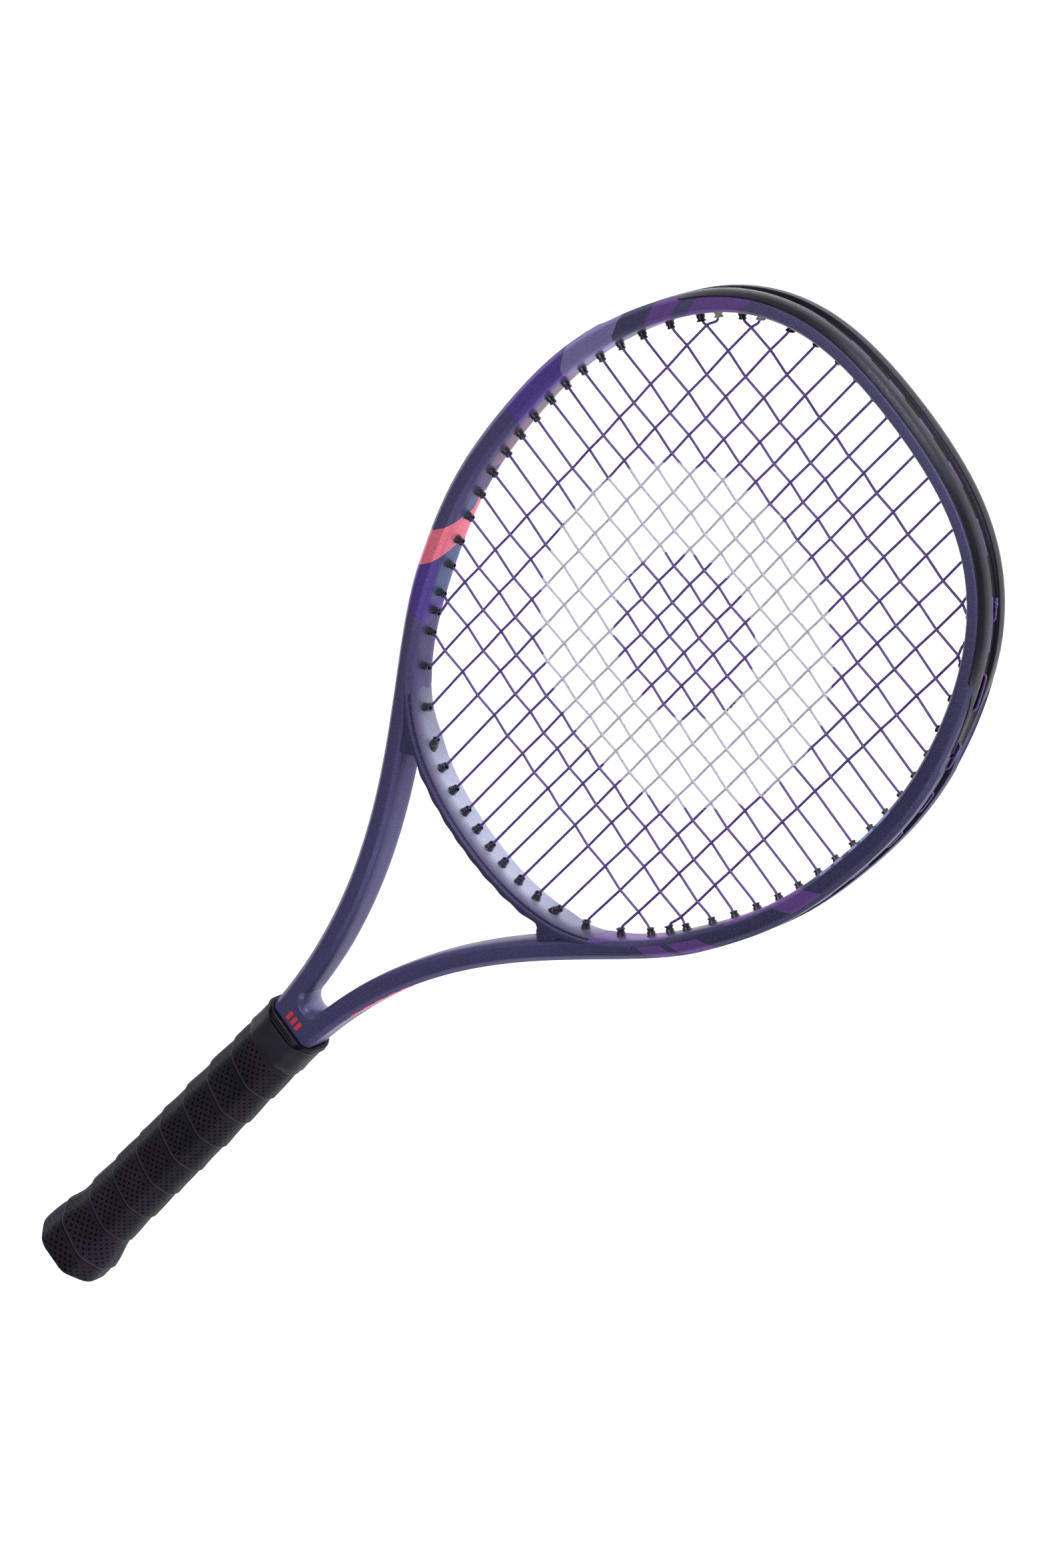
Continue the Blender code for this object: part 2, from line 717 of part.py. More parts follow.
def build_bumper():
    start = place_of_angle(BUMPER_ANGLE)
    steps = 2 * round(HOOP_STEPS * (3.0 - start))
    places = [start + (6.0 - 2.0 * start) * step / steps for step in range(steps + 1)]
    made = make_object("bumper_guard", loft([frame_ring(p, bumper_section(p)) for p in places]),
                       ((0.02, 0.02, 0.024), 0.45, 0.0))
    add_barrels(made, BUMPER_HOLES, (False, True))


def build_side_strips():
    section = strip_section(HOOP_HALF_WIDTH, GROOVE_DEPTH)
    end = place_of_angle(SIDE_STRIP_ANGLE)
    places = [SIDE_STRIP_START] + [p for p in frame_places() if SIDE_STRIP_START + 0.02 < p < end]
    places.append(end)
    for name, mirror in (("side_grommet_strip_left", False), ("side_grommet_strip_right", True)):
        rings = []
        for place in places:
            shift = half_width(place) - HOOP_HALF_WIDTH
            shifted = [(n + shift, z) for n, z in section]
            rings.append(frame_ring(6.0 - place if mirror else place, shifted))
        made = make_object(name, loft(rings), ((0.025, 0.025, 0.03), 0.5, 0.0))
        add_barrels(made, STRIP_HOLES, (mirror,))


def build_throat_strip():
    section = strip_section(BRIDGE_OUTER, BRIDGE_GROOVE_DEPTH)
    half_span = math.radians(17.1)
    steps = 8
    rings = []
    for step in range(-steps, steps + 1):
        angle = math.pi + half_span * step / steps
        rings.append(section_ring(hoop_point(angle), hoop_normal(angle), section))
    made = make_object("throat_grommet_strip", loft(rings), ((0.025, 0.025, 0.03), 0.5, 0.0))
    add_barrels(made, THROAT_HOLES[:BRIDGE_MAINS], (False, True))


# ---------------------------------------------------------------- strings

TURN_ROOM = 1.5                 # room that a string's turn takes on each side


def lift(point, mirror, z=0.0):
    return Vector((point.x, -point.y if mirror else point.y, z))


def groove_point(hole, place, mirror, z):
    offset = BRIDGE_LOOP if hole.in_bridge else LOOP_OFFSET
    plane = hoop_offset(place, offset) if hole.in_bridge else frame_offset(place, offset)
    return lift(plane, mirror, z)


def turn_out(hole, mirror, towards, lane):
    """Points that take a string from its hole's axis round into the groove."""
    corner = lift(hole.exit, mirror)
    inside = lift(hole.exit - TURN_ROOM * hole.direction, mirror)
    along = towards - corner
    outside = corner + along.normalized() * TURN_ROOM
    outside.z = lane
    corner.z = 0.5 * lane
    points = []
    for share in (0.0, 0.35, 0.7, 1.0):
        rest = 1.0 - share
        points.append(rest ** 2 * inside + 2 * rest * share * corner + share ** 2 * outside)
    return points


def loop_between(hole_a, mirror_a, hole_b, mirror_b, lane, spacing=9.0):
    """The short bridge of string that lies in the groove between two holes."""
    if mirror_a == mirror_b:
        run = [hole_a.place + (hole_b.place - hole_a.place) * k / 40 for k in range(41)]
        track = [groove_point(hole_a, place, mirror_a, lane) for place in run]
    else:
        centre = math.pi if hole_a.in_bridge else 3.0
        run = [hole_a.place + (centre - hole_a.place) * k / 20 for k in range(21)]
        track = [groove_point(hole_a, place, mirror_a, lane) for place in run]
        back = [centre + (hole_b.place - centre) * k / 20 for k in range(1, 21)]
        track += [groove_point(hole_b, place, mirror_b, lane) for place in back]
    length = sum((b - a).length for a, b in zip(track, track[1:]))
    count = max(1, int(length / spacing))
    middle = []
    for step in range(1, count + 1):
        middle.append(track[round(step * 40 / (count + 1))])
    out = turn_out(hole_a, mirror_a, middle[0], lane)
    back = turn_out(hole_b, mirror_b, middle[-1], lane)
    return out + middle + list(reversed(back))


def knot_tail(hole, mirror, direction, lane):
    """A tie-off: a short run in the groove that ends in a knot, as points with radii."""
    scale = 1.0 / 270.0
    run = [groove_point(hole, hole.place + direction * step * scale, mirror, lane)
           for step in (2.5, 4.0)]
    points = turn_out(hole, mirror, run[0], lane) + run
    radii = [STRING_RADIUS] * len(points)
    heading = (run[1] - run[0]).normalized()
    aside = lift(hole.direction, mirror) * 0.65 - Vector((0.0, 0.0, 0.35 * lane))
    for ahead, radius in ((1.0, 1.05), (2.2, 1.1), (3.0, 0.6)):
        points.append(run[1] + heading * ahead + aside)
        radii.append(radius)
    return points, radii


def main_run(index, mirror):
    """One main from its throat barrel to its head barrel, straight between end crossings."""
    throat, head = THROAT_HOLES[index], HEAD_HOLES[index]
    met = [cross_x(k) for k in range(CROSS_COUNT) if throat.tip.x + 3.0 < cross_x(k)
           and main_y(index, cross_x(k)) < SIDE_HOLES[k].mouth.y - 1.0]
    plane = [throat.mouth]
    plane += [Vector((x, main_y(index, x))) for x in (met[0], met[-1])]
    plane.append(head.mouth)
    return [lift(point, mirror) for point in plane]


def build_main_string():
    """All sixteen mains in one length, tied off at the two outer holes of the throat."""
    order = [(index, False) for index in reversed(range(len(MAIN_OFFSETS)))]
    order += [(index, True) for index in range(len(MAIN_OFFSETS))]
    first, first_mirror = order[0]
    tail, tail_radii = knot_tail(THROAT_HOLES[first], first_mirror, -1.0, LANE_OFFSET)
    points = list(reversed(tail))
    radii = list(reversed(tail_radii))
    upwards = True
    for (index, mirror), (following, next_mirror) in zip(order, order[1:] + [(None, None)]):
        far = HEAD_HOLES[index] if upwards else THROAT_HOLES[index]
        run = main_run(index, mirror)
        points += run if upwards else list(reversed(run))
        radii += [STRING_RADIUS] * len(run)
        if following is not None:
            landing = (HEAD_HOLES if upwards else THROAT_HOLES)[following]
            loop = loop_between(far, mirror, landing, next_mirror, LANE_OFFSET)
        else:
            loop, tail_radii = knot_tail(far, mirror, -1.0, LANE_OFFSET)
        points += loop
        radii += tail_radii if following is None else [STRING_RADIUS] * len(loop)
        upwards = not upwards
    made = make_object("main_string", tube_along(points, radii), ((0.13, 0.07, 0.24), 0.4, 0.0))
    soften(made)


def weave_run(index, mirror):
    """One cross from the side given by mirror to the other, over and under the mains."""
    hole = SIDE_HOLES[index]
    x = cross_x(index)
    start = 1.0 if not mirror else -1.0
    points = [lift(hole.mouth, mirror)]
    crossings = []
    for main, offset in enumerate(MAIN_OFFSETS):
        in_reach = THROAT_HOLES[main].tip.x + 3.0 < x < HEAD_HOLES[main].tip.x
        y = main_y(main, x)
        if in_reach and y < hole.mouth.y - 1.0:
            over_left = WEAVE_HEIGHT if (main + index) % 2 == 0 else -WEAVE_HEIGHT
            if hole.mouth.y - y < STEEP_REACH:
                over_left *= STEEP_GAIN
            crossings.append((y, over_left))
            crossings.append((-y, -over_left))
    for y, over in sorted(crossings, key=lambda item: -start * item[0]):
        points.append(Vector((x, y, over)))
    points.append(lift(hole.mouth, not mirror))
    return points


def build_cross_string():
    """All nineteen crosses in one length, woven through the mains from the tip down."""
    tail, radii = knot_tail(SIDE_HOLES[-1], True, 1.0, -LANE_OFFSET)
    points = list(reversed(tail))
    radii = list(reversed(radii))
    mirror = True
    for index in reversed(range(CROSS_COUNT)):
        run = weave_run(index, mirror)
        points += run
        radii += [STRING_RADIUS] * len(run)
        if index > 0:
            loop = loop_between(SIDE_HOLES[index], not mirror, SIDE_HOLES[index - 1], not mirror,
                                -LANE_OFFSET)
            points += loop
            radii += [STRING_RADIUS] * len(loop)
        else:
            tail, tail_radii = knot_tail(SIDE_HOLES[0], not mirror, -1.0, -LANE_OFFSET)
            points += tail
            radii += tail_radii
        mirror = not mirror
    made = make_object("cross_string", tube_along(points, radii), ((0.13, 0.07, 0.24), 0.4, 0.0))
    soften(made)


# ---------------------------------------------------------------- handle

def build_pallets():
    """Two moulded halves that give the handle its eight sides round the legs."""
    leg_y = LEG_OFFSET_Y + LEG_HALF_WIDTH + GAP
    leg_z = LEG_HALF_HEIGHT + GAP
    for name, sign in (("handle_pallet_top", 1.0), ("handle_pallet_bottom", -1.0)):
        rings = []
        for x, half_y, half_z in PALLET_STATIONS:
            flat_y = FLAT_SHARE_Y * half_y
            flat_z = FLAT_SHARE_Z * half_z
            outline = [(half_y, PALLET_SPLIT), (half_y, flat_z), (flat_y, half_z),
                       (-flat_y, half_z), (-half_y, flat_z), (-half_y, PALLET_SPLIT),
                       (-leg_y, PALLET_SPLIT), (-leg_y, flat_z + 1.0), (-leg_y + 3.0, leg_z),
                       (leg_y - 3.0, leg_z), (leg_y, flat_z + 1.0), (leg_y, PALLET_SPLIT)]
            rings.append([Vector((x, y, sign * z)) for y, z in outline])
        made = make_object(name, loft(rings), ((0.70, 0.62, 0.45), 0.85, 0.0))
        combine(made, merge(staple_slots()), "DIFFERENCE")


def build_spacer():
    half_y = LEG_OFFSET_Y - LEG_HALF_WIDTH - GAP
    half_z = LEG_HALF_HEIGHT - 0.4
    mesh = box((SPACER_X[0], -half_y, -half_z), (SPACER_X[1], half_y, half_z))
    make_object("handle_spacer_foam", mesh, ((0.78, 0.75, 0.66), 0.9, 0.0))


def staple_outline(grow):
    """Outline of a staple seen along X: a crown with two legs, grown by a clearance."""
    span = STAPLE_HALF_SPAN + grow
    inner = STAPLE_HALF_SPAN - STAPLE_WIRE - grow
    top = STAPLE_TOP_Z + grow
    under = STAPLE_TOP_Z - STAPLE_WIRE - grow
    foot = STAPLE_FOOT_Z - grow
    return [(-span, foot), (-inner, foot), (-inner, under), (inner, under), (inner, foot),
            (span, foot), (span, top), (-span, top)]


def staple_bar(centre_y, sign, grow, extra_top=0.0):
    half_wire = 0.5 * STAPLE_WIRE + grow
    rings = []
    for x in (STAPLE_X - half_wire, STAPLE_X + half_wire):
        ring = []
        for y, z in staple_outline(grow):
            if z > STAPLE_TOP_Z:
                z += extra_top
            ring.append(Vector((x, centre_y + y, sign * z)))
        rings.append(ring)
    return loft(rings)


def staple_slots():
    return [staple_bar(y, sign, 0.25, 2.0) for y in STAPLE_YS for sign in (1.0, -1.0)]


def build_staples():
    number = 1
    for sign in (1.0, -1.0):
        for y in STAPLE_YS:
            make_object(f"butt_cap_staple_{number}", staple_bar(y, sign, 0.0),
                        ((0.55, 0.55, 0.56), 0.35, 1.0))
            number += 1


def build_butt_cap():
    made = make_object("butt_cap", octagon_shell(CAP_OUTER, CAP_INNER, wrap=False),
                       ((0.03, 0.03, 0.035), 0.5, 0.0))
    depth, half_y, half_z = EMBLEM_RECESS
    recess = loft([octagon(-1.0, half_y, half_z), octagon(depth, half_y, half_z)])
    combine(made, recess, "DIFFERENCE")
    combine(made, merge(staple_slots()), "DIFFERENCE")
    thickness, half_y, half_z = EMBLEM
    emblem = loft([octagon(0.0, half_y, half_z), octagon(thickness, half_y, half_z)])
    make_object("butt_cap_emblem", emblem, ((0.45, 0.05, 0.08), 0.35, 0.0))


def build_grip():
    black = (0.018, 0.017, 0.02)
    make_object("grip_wrap", octagon_shell(WRAP_OUTER, WRAP_INNER), (black, 0.75, 0.0))
    make_object("finishing_tape", octagon_shell(TAPE_OUTER, TAPE_INNER), (black, 0.55, 0.0))
    make_object("rubber_collar", octagon_shell(COLLAR_OUTER, COLLAR_INNER), (black, 0.3, 0.0))


def clear_scene():
    for old in list(bpy.data.objects):
        bpy.data.objects.remove(old)


def main():
    clear_scene()
    build_frame()
    build_bridge()
    build_throat_wedge()
    build_plugs()
    build_bumper()
    build_side_strips()
    build_throat_strip()
    build_main_string()
    build_cross_string()
    build_pallets()
    build_spacer()
    build_butt_cap()
    build_staples()
    build_grip()


main()
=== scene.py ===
"""Looks of the strung tennis racket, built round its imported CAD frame.

Lengths are written in millimetres in the part's own frame (butt end face at the origin,
+X to the tip of the head, +Y the left side, +Z the face) and every mesh is in metres.
"""
import math

import bpy
import numpy as np
from mathutils import Matrix, Vector


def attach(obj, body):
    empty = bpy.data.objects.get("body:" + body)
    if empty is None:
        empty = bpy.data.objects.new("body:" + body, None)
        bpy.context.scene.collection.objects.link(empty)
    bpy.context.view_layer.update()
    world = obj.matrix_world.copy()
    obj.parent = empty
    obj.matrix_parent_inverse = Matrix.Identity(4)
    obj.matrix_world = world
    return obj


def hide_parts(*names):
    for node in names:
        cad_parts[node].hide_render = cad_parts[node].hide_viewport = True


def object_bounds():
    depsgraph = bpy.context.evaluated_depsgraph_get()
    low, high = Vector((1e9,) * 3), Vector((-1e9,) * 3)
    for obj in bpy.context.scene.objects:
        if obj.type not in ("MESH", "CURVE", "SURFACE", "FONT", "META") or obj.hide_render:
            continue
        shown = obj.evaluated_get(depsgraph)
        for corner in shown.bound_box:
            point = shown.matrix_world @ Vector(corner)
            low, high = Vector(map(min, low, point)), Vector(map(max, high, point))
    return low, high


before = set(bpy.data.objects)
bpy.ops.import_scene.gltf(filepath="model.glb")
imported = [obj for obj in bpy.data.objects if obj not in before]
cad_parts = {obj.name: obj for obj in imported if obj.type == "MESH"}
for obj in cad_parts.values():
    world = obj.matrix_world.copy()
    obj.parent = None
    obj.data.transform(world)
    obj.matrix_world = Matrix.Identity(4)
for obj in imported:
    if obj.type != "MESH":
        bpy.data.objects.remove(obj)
cad_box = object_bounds()

MM = 0.001

# Centre line of the hoop: its distance from one point, as a sum of cosines
HOOP_CENTRE_X = 515.0
HOOP_TERMS = (148.2, 4.3, 18.8, -2.3, -0.6, -0.6, -1.5, 0.1, -0.85)

# Frame tube
HOOP_HALF_WIDTH = 5.3
SHAFT_HALF_WIDTH = 5.5
SHAFT_FOOT_HALF_WIDTH = 5.0
LEG_HALF_WIDTH = 4.2
HOOP_HALF_HEIGHT = 10.7
SHAFT_HALF_HEIGHT = 9.3
LEG_HALF_HEIGHT = 8.0
GROOVE_DEPTH = 2.9
GROOVE_HALF_HEIGHT = 3.2
BUMPER_RECESS = 1.3
LEG_START_X = 18.0
LEG_END_X = 192.0
LEG_OFFSET_Y = 7.6
SHAFT_FOOT_Y = 8.75
SWELL_START = 0.92
SHAFT_REACH = 124.5
JOIN_REACH = 57.0
JOIN_ANGLE = math.radians(128.6)
GROOVE_START = (1.45, 1.53)

# Throat bridge
BRIDGE_OUTER = 1.3
BRIDGE_HALF_HEIGHT = 10.2
BRIDGE_GROOVE_DEPTH = 2.0
WEB_START_Y = 46.8
WEB_FULL_Y = 51.0
WEB_HALF_HEIGHT = 9.1
BRIDGE_END_ANGLE = 32.0

# String pattern
MAIN_OFFSETS = (5.2, 15.4, 26.9, 38.3, 51.1, 64.1, 77.8, 93.4)
MAIN_FAN = 0.000086
MAIN_FAN_X = 520.0
CROSS_FIRST_X = 405.2
CROSS_GAPS = (17.6, 13.6, 12.2, 12.4, 12.8, 12.5, 12.8, 11.9, 12.2, 12.5, 11.6, 11.9, 11.8, 12.2,
              13.4, 14.3, 15.5, 17.8)
BRIDGE_MAINS = 5
CANTED_EXIT_Y = 46.6
STEERED_HEAD = {6: 30.5, 7: 38.8}
STEERED_SIDE = {15: 55.0, 16: 48.8, 17: 42.4, 18: 34.1}
STEERED_THROAT = {7: 136.4}
STRING_RADIUS = 0.65
CROSS_WEAVE = 0.80              # rise of a cross at a crossing, and of a main the other way
MAIN_WEAVE = 0.50
LANE_OFFSET = 1.5

# Grommets
BARREL_PROUD = 3.6
BARREL_PROUD_RIGHT = 3.0
BARREL_BORE = 1.32
MOUTH_SHIFT = 0.6
MOUTH_LEAD = 0.6
STRIP_THICKNESS = 0.8
STRIP_HALF_HEIGHT = 2.85
LOOP_OFFSET = 4.25
BRIDGE_LOOP = 1.43
BUMPER_ANGLE = math.radians(56.5)
SIDE_STRIP_ANGLE = math.radians(57.8)
SIDE_STRIP_START = 1.60

# Handle stations: x, half width, half height[, shares of the flats]
FLAT_SHARE_Y = 0.49
FLAT_SHARE_Z = 0.375
WRAP_OUTER = ((1.8, 19.0, 17.0), (2.6, 19.8, 17.8), (4.0, 20.2, 18.2), (8.0, 20.4, 18.4),
              (13.0, 20.3, 18.3), (18.0, 19.8, 17.7), (22.0, 19.1, 17.0), (28.0, 17.9, 15.8),
              (34.0, 17.1, 15.0), (110.0, 17.05, 14.95), (180.0, 17.0, 14.9), (188.0, 16.4, 14.4),
              (192.0, 15.9, 13.9))
WRAP_INNER = ((1.8, 18.6, 16.6), (4.0, 18.7, 16.7), (13.0, 18.8, 16.8), (32.0, 15.6, 13.6),
              (180.0, 15.35, 13.35), (192.0, 15.3, 13.3))
WRAP_PITCH = 21.2
WRAP_SEAM_X = 151.0
WRAP_RISE = 0.8


# ---- curves

def ramp(value, start, end):
    """Smooth step from 0 at start to 1 at end."""
    share = min(1.0, max(0.0, (value - start) / (end - start)))
    return share * share * (3.0 - 2.0 * share)


def mix(low, high, share):
    return low + (high - low) * share


def hoop_point(angle):
    radius = sum(term * math.cos(order * angle) for order, term in enumerate(HOOP_TERMS))
    return Vector((HOOP_CENTRE_X + radius * math.cos(angle), radius * math.sin(angle)))


def hoop_normal(angle, step=0.002):
    run = hoop_point(angle + step) - hoop_point(angle - step)
    return Vector((run.y, -run.x)).normalized()


def hoop_offset(angle, offset):
    return hoop_point(angle) + offset * hoop_normal(angle)


def shaft_point(share):
    join = hoop_point(JOIN_ANGLE)
    normal = hoop_normal(JOIN_ANGLE)
    tangent = Vector((normal.y, -normal.x))
    start = Vector((LEG_END_X, SHAFT_FOOT_Y))
    handle_a = start + Vector((SHAFT_REACH, 0.0))
    handle_b = join - JOIN_REACH * tangent
    rest = 1.0 - share
    return (rest ** 3 * start + 3 * rest ** 2 * share * handle_a
            + 3 * rest * share ** 2 * handle_b + share ** 3 * join)


def swell(place):
    return ramp(place, SWELL_START, 1.0)


def frame_point(place):
    """Centre line of the frame tube: 0 to 1 leg, 1 to 2 shaft, 2 to 3 hoop, then mirrored."""
    if place > 3.0:
        mirrored = frame_point(6.0 - place)
        return Vector((mirrored.x, -mirrored.y))
    if place >= 2.0:
        return hoop_point(JOIN_ANGLE * (3.0 - place))
    if place >= 1.0:
        return shaft_point(place - 1.0)
    x = LEG_START_X + (LEG_END_X - LEG_START_X) * place
    return Vector((x, LEG_OFFSET_Y + (SHAFT_FOOT_Y - LEG_OFFSET_Y) * swell(place)))


def frame_normal(place, step=0.002):
    run = frame_point(min(6.0, place + step)) - frame_point(max(0.0, place - step))
    return Vector((-run.y, run.x)).normalized()


def frame_offset(place, offset):
    return frame_point(place) + offset * frame_normal(place)


def half_place(place):
    return 6.0 - place if place > 3.0 else place


def half_width(place):
    place = half_place(place)
    width = LEG_HALF_WIDTH + (SHAFT_FOOT_HALF_WIDTH - LEG_HALF_WIDTH) * swell(place)
    width += (SHAFT_HALF_WIDTH - SHAFT_FOOT_HALF_WIDTH) * ramp(place, 1.0, 1.2)
    return width + (HOOP_HALF_WIDTH - SHAFT_HALF_WIDTH) * ramp(place, 1.6, 2.0)


def half_height(place):
    place = half_place(place)
    height = LEG_HALF_HEIGHT + (SHAFT_HALF_HEIGHT - LEG_HALF_HEIGHT) * swell(place)
    return height + (HOOP_HALF_HEIGHT - SHAFT_HALF_HEIGHT) * ramp(place, 1.1, 2.0)


def recess_share(place):
    angle = JOIN_ANGLE * (3.0 - half_place(place))
    return 1.0 - ramp(angle, BUMPER_ANGLE + 0.02, BUMPER_ANGLE + 0.08)


def nearest_hoop(point):
    """Angle of the hoop's point nearest to a plan point, and the signed distance outwards."""
    angle = math.atan2(abs(point.y), point.x - HOOP_CENTRE_X)
    target = Vector((point.x, abs(point.y)))
    for _ in range(12):
        normal = hoop_normal(angle)
        tangent = Vector((-normal.y, normal.x))
        radius = (hoop_point(angle) - Vector((HOOP_CENTRE_X, 0.0))).length
        angle += (target - hoop_point(angle)).dot(tangent) / radius
    return angle, (target - hoop_point(angle)).dot(hoop_normal(angle))


ARC_STEPS = 1440
ARC_ANGLES = np.linspace(0.0, math.pi, ARC_STEPS + 1)
ARC_POINTS = np.array([hoop_point(angle)[:] for angle in ARC_ANGLES])
ARC_LENGTHS = np.concatenate(
    [[0.0], np.cumsum(np.linalg.norm(np.diff(ARC_POINTS, axis=0), axis=1))])


def arc_of_angle(angle):
    """Length along the hoop from the tip to an angle, in millimetres."""
    return float(np.interp(angle, ARC_ANGLES, ARC_LENGTHS))


# ---- meshes

def grid_faces(rows, columns, first=0, wrap=False, flip=False):
    """Quads of a closed-ring grid, with end caps unless the last row meets the first."""
    faces = []
    last = rows if wrap else rows - 1
    for row in range(last):
        base = first + row * columns
        above = first + ((row + 1) % rows) * columns
        for column in range(columns):
            after = (column + 1) % columns
            faces.append((base + column, base + after, above + after, above + column))
    if not wrap:
        faces.append(tuple(first + column for column in reversed(range(columns))))
        faces.append(tuple(first + (rows - 1) * columns + column for column in range(columns)))
    if flip:
        faces = [tuple(reversed(face)) for face in faces]
    return faces


def grid_volume(grid, wrap):
    """Six times the signed volume of a ring grid, which tells which way its faces look."""
    near = grid if wrap else grid[:-1]
    far = np.roll(grid, -1, axis=0) if wrap else grid[1:]
    near_next, far_next = np.roll(near, -1, axis=1), np.roll(far, -1, axis=1)
    total = np.einsum("ijk,ijk->", near, np.cross(near_next, far_next) + np.cross(far_next, far))
    if not wrap:
        for ring, sign in ((grid[0], -1.0), (grid[-1], 1.0)):
            area = np.cross(ring, np.roll(ring, -1, axis=0)).sum(axis=0)
            total += sign * ring.mean(axis=0).dot(area)
    return total

class Shells:
    """Collects closed bodies that belong to one piece, then makes its mesh."""

    def __init__(self):
        self.points = []
        self.faces = []
        self.values = {}
        self.count = 0

    def add(self, grid, wrap=False, **attributes):
        grid = np.asarray(grid, float)
        rows, columns = grid.shape[:2]
        shift = grid - grid.reshape(-1, 3).mean(axis=0)
        flip = grid_volume(shift, wrap) < 0
        self.faces += grid_faces(rows, columns, self.count, wrap, flip)
        self.points.append(grid.reshape(-1, 3))
        for key in set(self.values) | set(attributes):
            values = attributes.get(key, 0.0)
            full = np.broadcast_to(np.asarray(values, float), (rows, columns)).ravel()
            if key not in self.values:
                self.values[key] = [np.zeros(self.count)] if self.count else []
            self.values[key].append(full)
        self.count += rows * columns

    def build(self, name, material, sharp_degrees=None):
        mesh = bpy.data.meshes.new(name)
        mesh.from_pydata((np.concatenate(self.points) * MM).tolist(), [], self.faces)
        mesh.validate()
        for key, parts in self.values.items():
            layer = mesh.attributes.new(key, "FLOAT", "POINT")
            layer.data.foreach_set("value", np.concatenate(parts).astype(np.float32))
        mesh.shade_smooth()
        if sharp_degrees:
            mesh.set_sharp_from_angle(angle=math.radians(sharp_degrees))
        mesh.materials.append(material)
        made = bpy.data.objects.new(name, mesh)
        bpy.context.scene.collection.objects.link(made)
        return made

def one_body(name, material, grid, sharp_degrees=None, wrap=False, **attributes):
    shells = Shells()
    shells.add(grid, wrap, **attributes)
    return shells.build(name, material, sharp_degrees)

TINY = 1e-6
CORNER_SHARE = 0.46             # most of a side that one rounded corner may take

def bend(start, corner, end, shares=(0.0, 0.25, 0.5, 0.75, 1.0)):
    """Points of a short parabola from start to end, drawn towards the corner."""
    return [(1.0 - share) ** 2 * start + 2.0 * (1.0 - share) * share * corner + share ** 2 * end
            for share in shares]

def round_section(corners, radii, steps=4):
    """Closed outline with its corners rounded by short parabolas."""
    points = np.asarray(corners, float)
    shares = [step / steps for step in range(steps + 1)]
    out = []
    for index, corner in enumerate(points):
        sides = (points[index - 1] - corner, points[(index + 1) % len(points)] - corner)
        lengths = [max(TINY, float(np.linalg.norm(side))) for side in sides]
        radius = min(radii[index], *(CORNER_SHARE * length for length in lengths))
        start, end = (corner + side / length * radius for side, length in zip(sides, lengths))
        out += bend(start, corner, end, shares)
    return np.array(out)

def round_ring(front, radii, back=None, steps=4):
    """Rounded ring of a front half and its mirror image, or of another back half."""
    back = front if back is None else back
    ring = list(front) + [(n, -z) for n, z in reversed(back)]
    return round_section(ring, radii + tuple(reversed(radii)), steps)

def plan_ring(plane_point, normal, section):
    ring = np.empty((len(section), 3))
    ring[:, 0] = plane_point.x + section[:, 0] * normal.x
    ring[:, 1] = plane_point.y + section[:, 0] * normal.y
    ring[:, 2] = section[:, 1]
    return ring

def frame_ring(place, section):
    return plan_ring(frame_point(place), frame_normal(place), section)

def hoop_ring(angle, section):
    return plan_ring(hoop_point(angle), hoop_normal(angle), section)


# ---- string pattern

def root_between(function, low, high, rounds=50):
    low_sign = function(low) > 0
    for _ in range(rounds):
        middle = 0.5 * (low + high)
        if (function(middle) > 0) == low_sign:
            low = middle
        else:
            high = middle
    return 0.5 * (low + high)


def barrel_tip(angle):
    return hoop_offset(angle, -HOOP_HALF_WIDTH - BARREL_PROUD)


def main_y(index, x):
    return MAIN_OFFSETS[index] * (1.0 + MAIN_FAN * (x - MAIN_FAN_X))


def cross_x(index):
    return CROSS_FIRST_X + sum(CROSS_GAPS[:index])


def curve_hit(curve, origin, direction):
    side = Vector((-direction.y, direction.x))
    for (place_a, point_a), (place_b, point_b) in zip(curve, curve[1:]):
        off_a = (point_a - origin).dot(side)
        off_b = (point_b - origin).dot(side)
        if off_a * off_b > 0 or off_a == off_b:
            continue
        share = off_a / (off_a - off_b)
        point = point_a.lerp(point_b, share)
        if (point - origin).dot(direction) > 0:
            return place_a + share * (place_b - place_a), point
    raise ValueError("the line misses the curve")


FINE_STEPS = 700
FRAME_LOOP_CURVE = [(place, frame_offset(place, LOOP_OFFSET))
                    for place in (1.4 + 1.62 * step / FINE_STEPS for step in range(FINE_STEPS))]
FRAME_INNER_CURVE = [(place, frame_offset(place, -half_width(place)))
                     for place in (1.0 + 1.0 * step / FINE_STEPS for step in range(FINE_STEPS))]
BRIDGE_LOOP_CURVE = [(angle, hoop_offset(angle, BRIDGE_LOOP))
                     for angle in (math.pi * (0.8 + 0.2 * step / FINE_STEPS)
                                   for step in range(FINE_STEPS + 1))]


def lean(angle, heading):
    normal = hoop_normal(angle)
    tangent = Vector((normal.y, -normal.x))
    share = max(-1.0, min(1.0, 2.5 * tangent.dot(heading)))
    return MOUTH_SHIFT * share * tangent


class Hole:
    """One string hole on the left half: barrel tip, direction out, and where the string turns."""

    def __init__(self, angle, in_bridge, heading, canted=False):
        self.angle = angle
        self.in_bridge = in_bridge
        self.tip = barrel_tip(angle)
        self.mouth = self.tip + lean(angle, heading) - MOUTH_LEAD * hoop_normal(angle)
        self.direction = hoop_normal(angle)
        if canted:
            turn_angle = root_between(
                lambda a: hoop_offset(a, BRIDGE_LOOP).y - CANTED_EXIT_Y, 0.8 * math.pi, math.pi)
            self.direction = (hoop_offset(turn_angle, BRIDGE_LOOP) - self.tip).normalized()
        curve = BRIDGE_LOOP_CURVE if in_bridge else FRAME_LOOP_CURVE
        self.place, self.exit = curve_hit(curve, self.tip, self.direction)


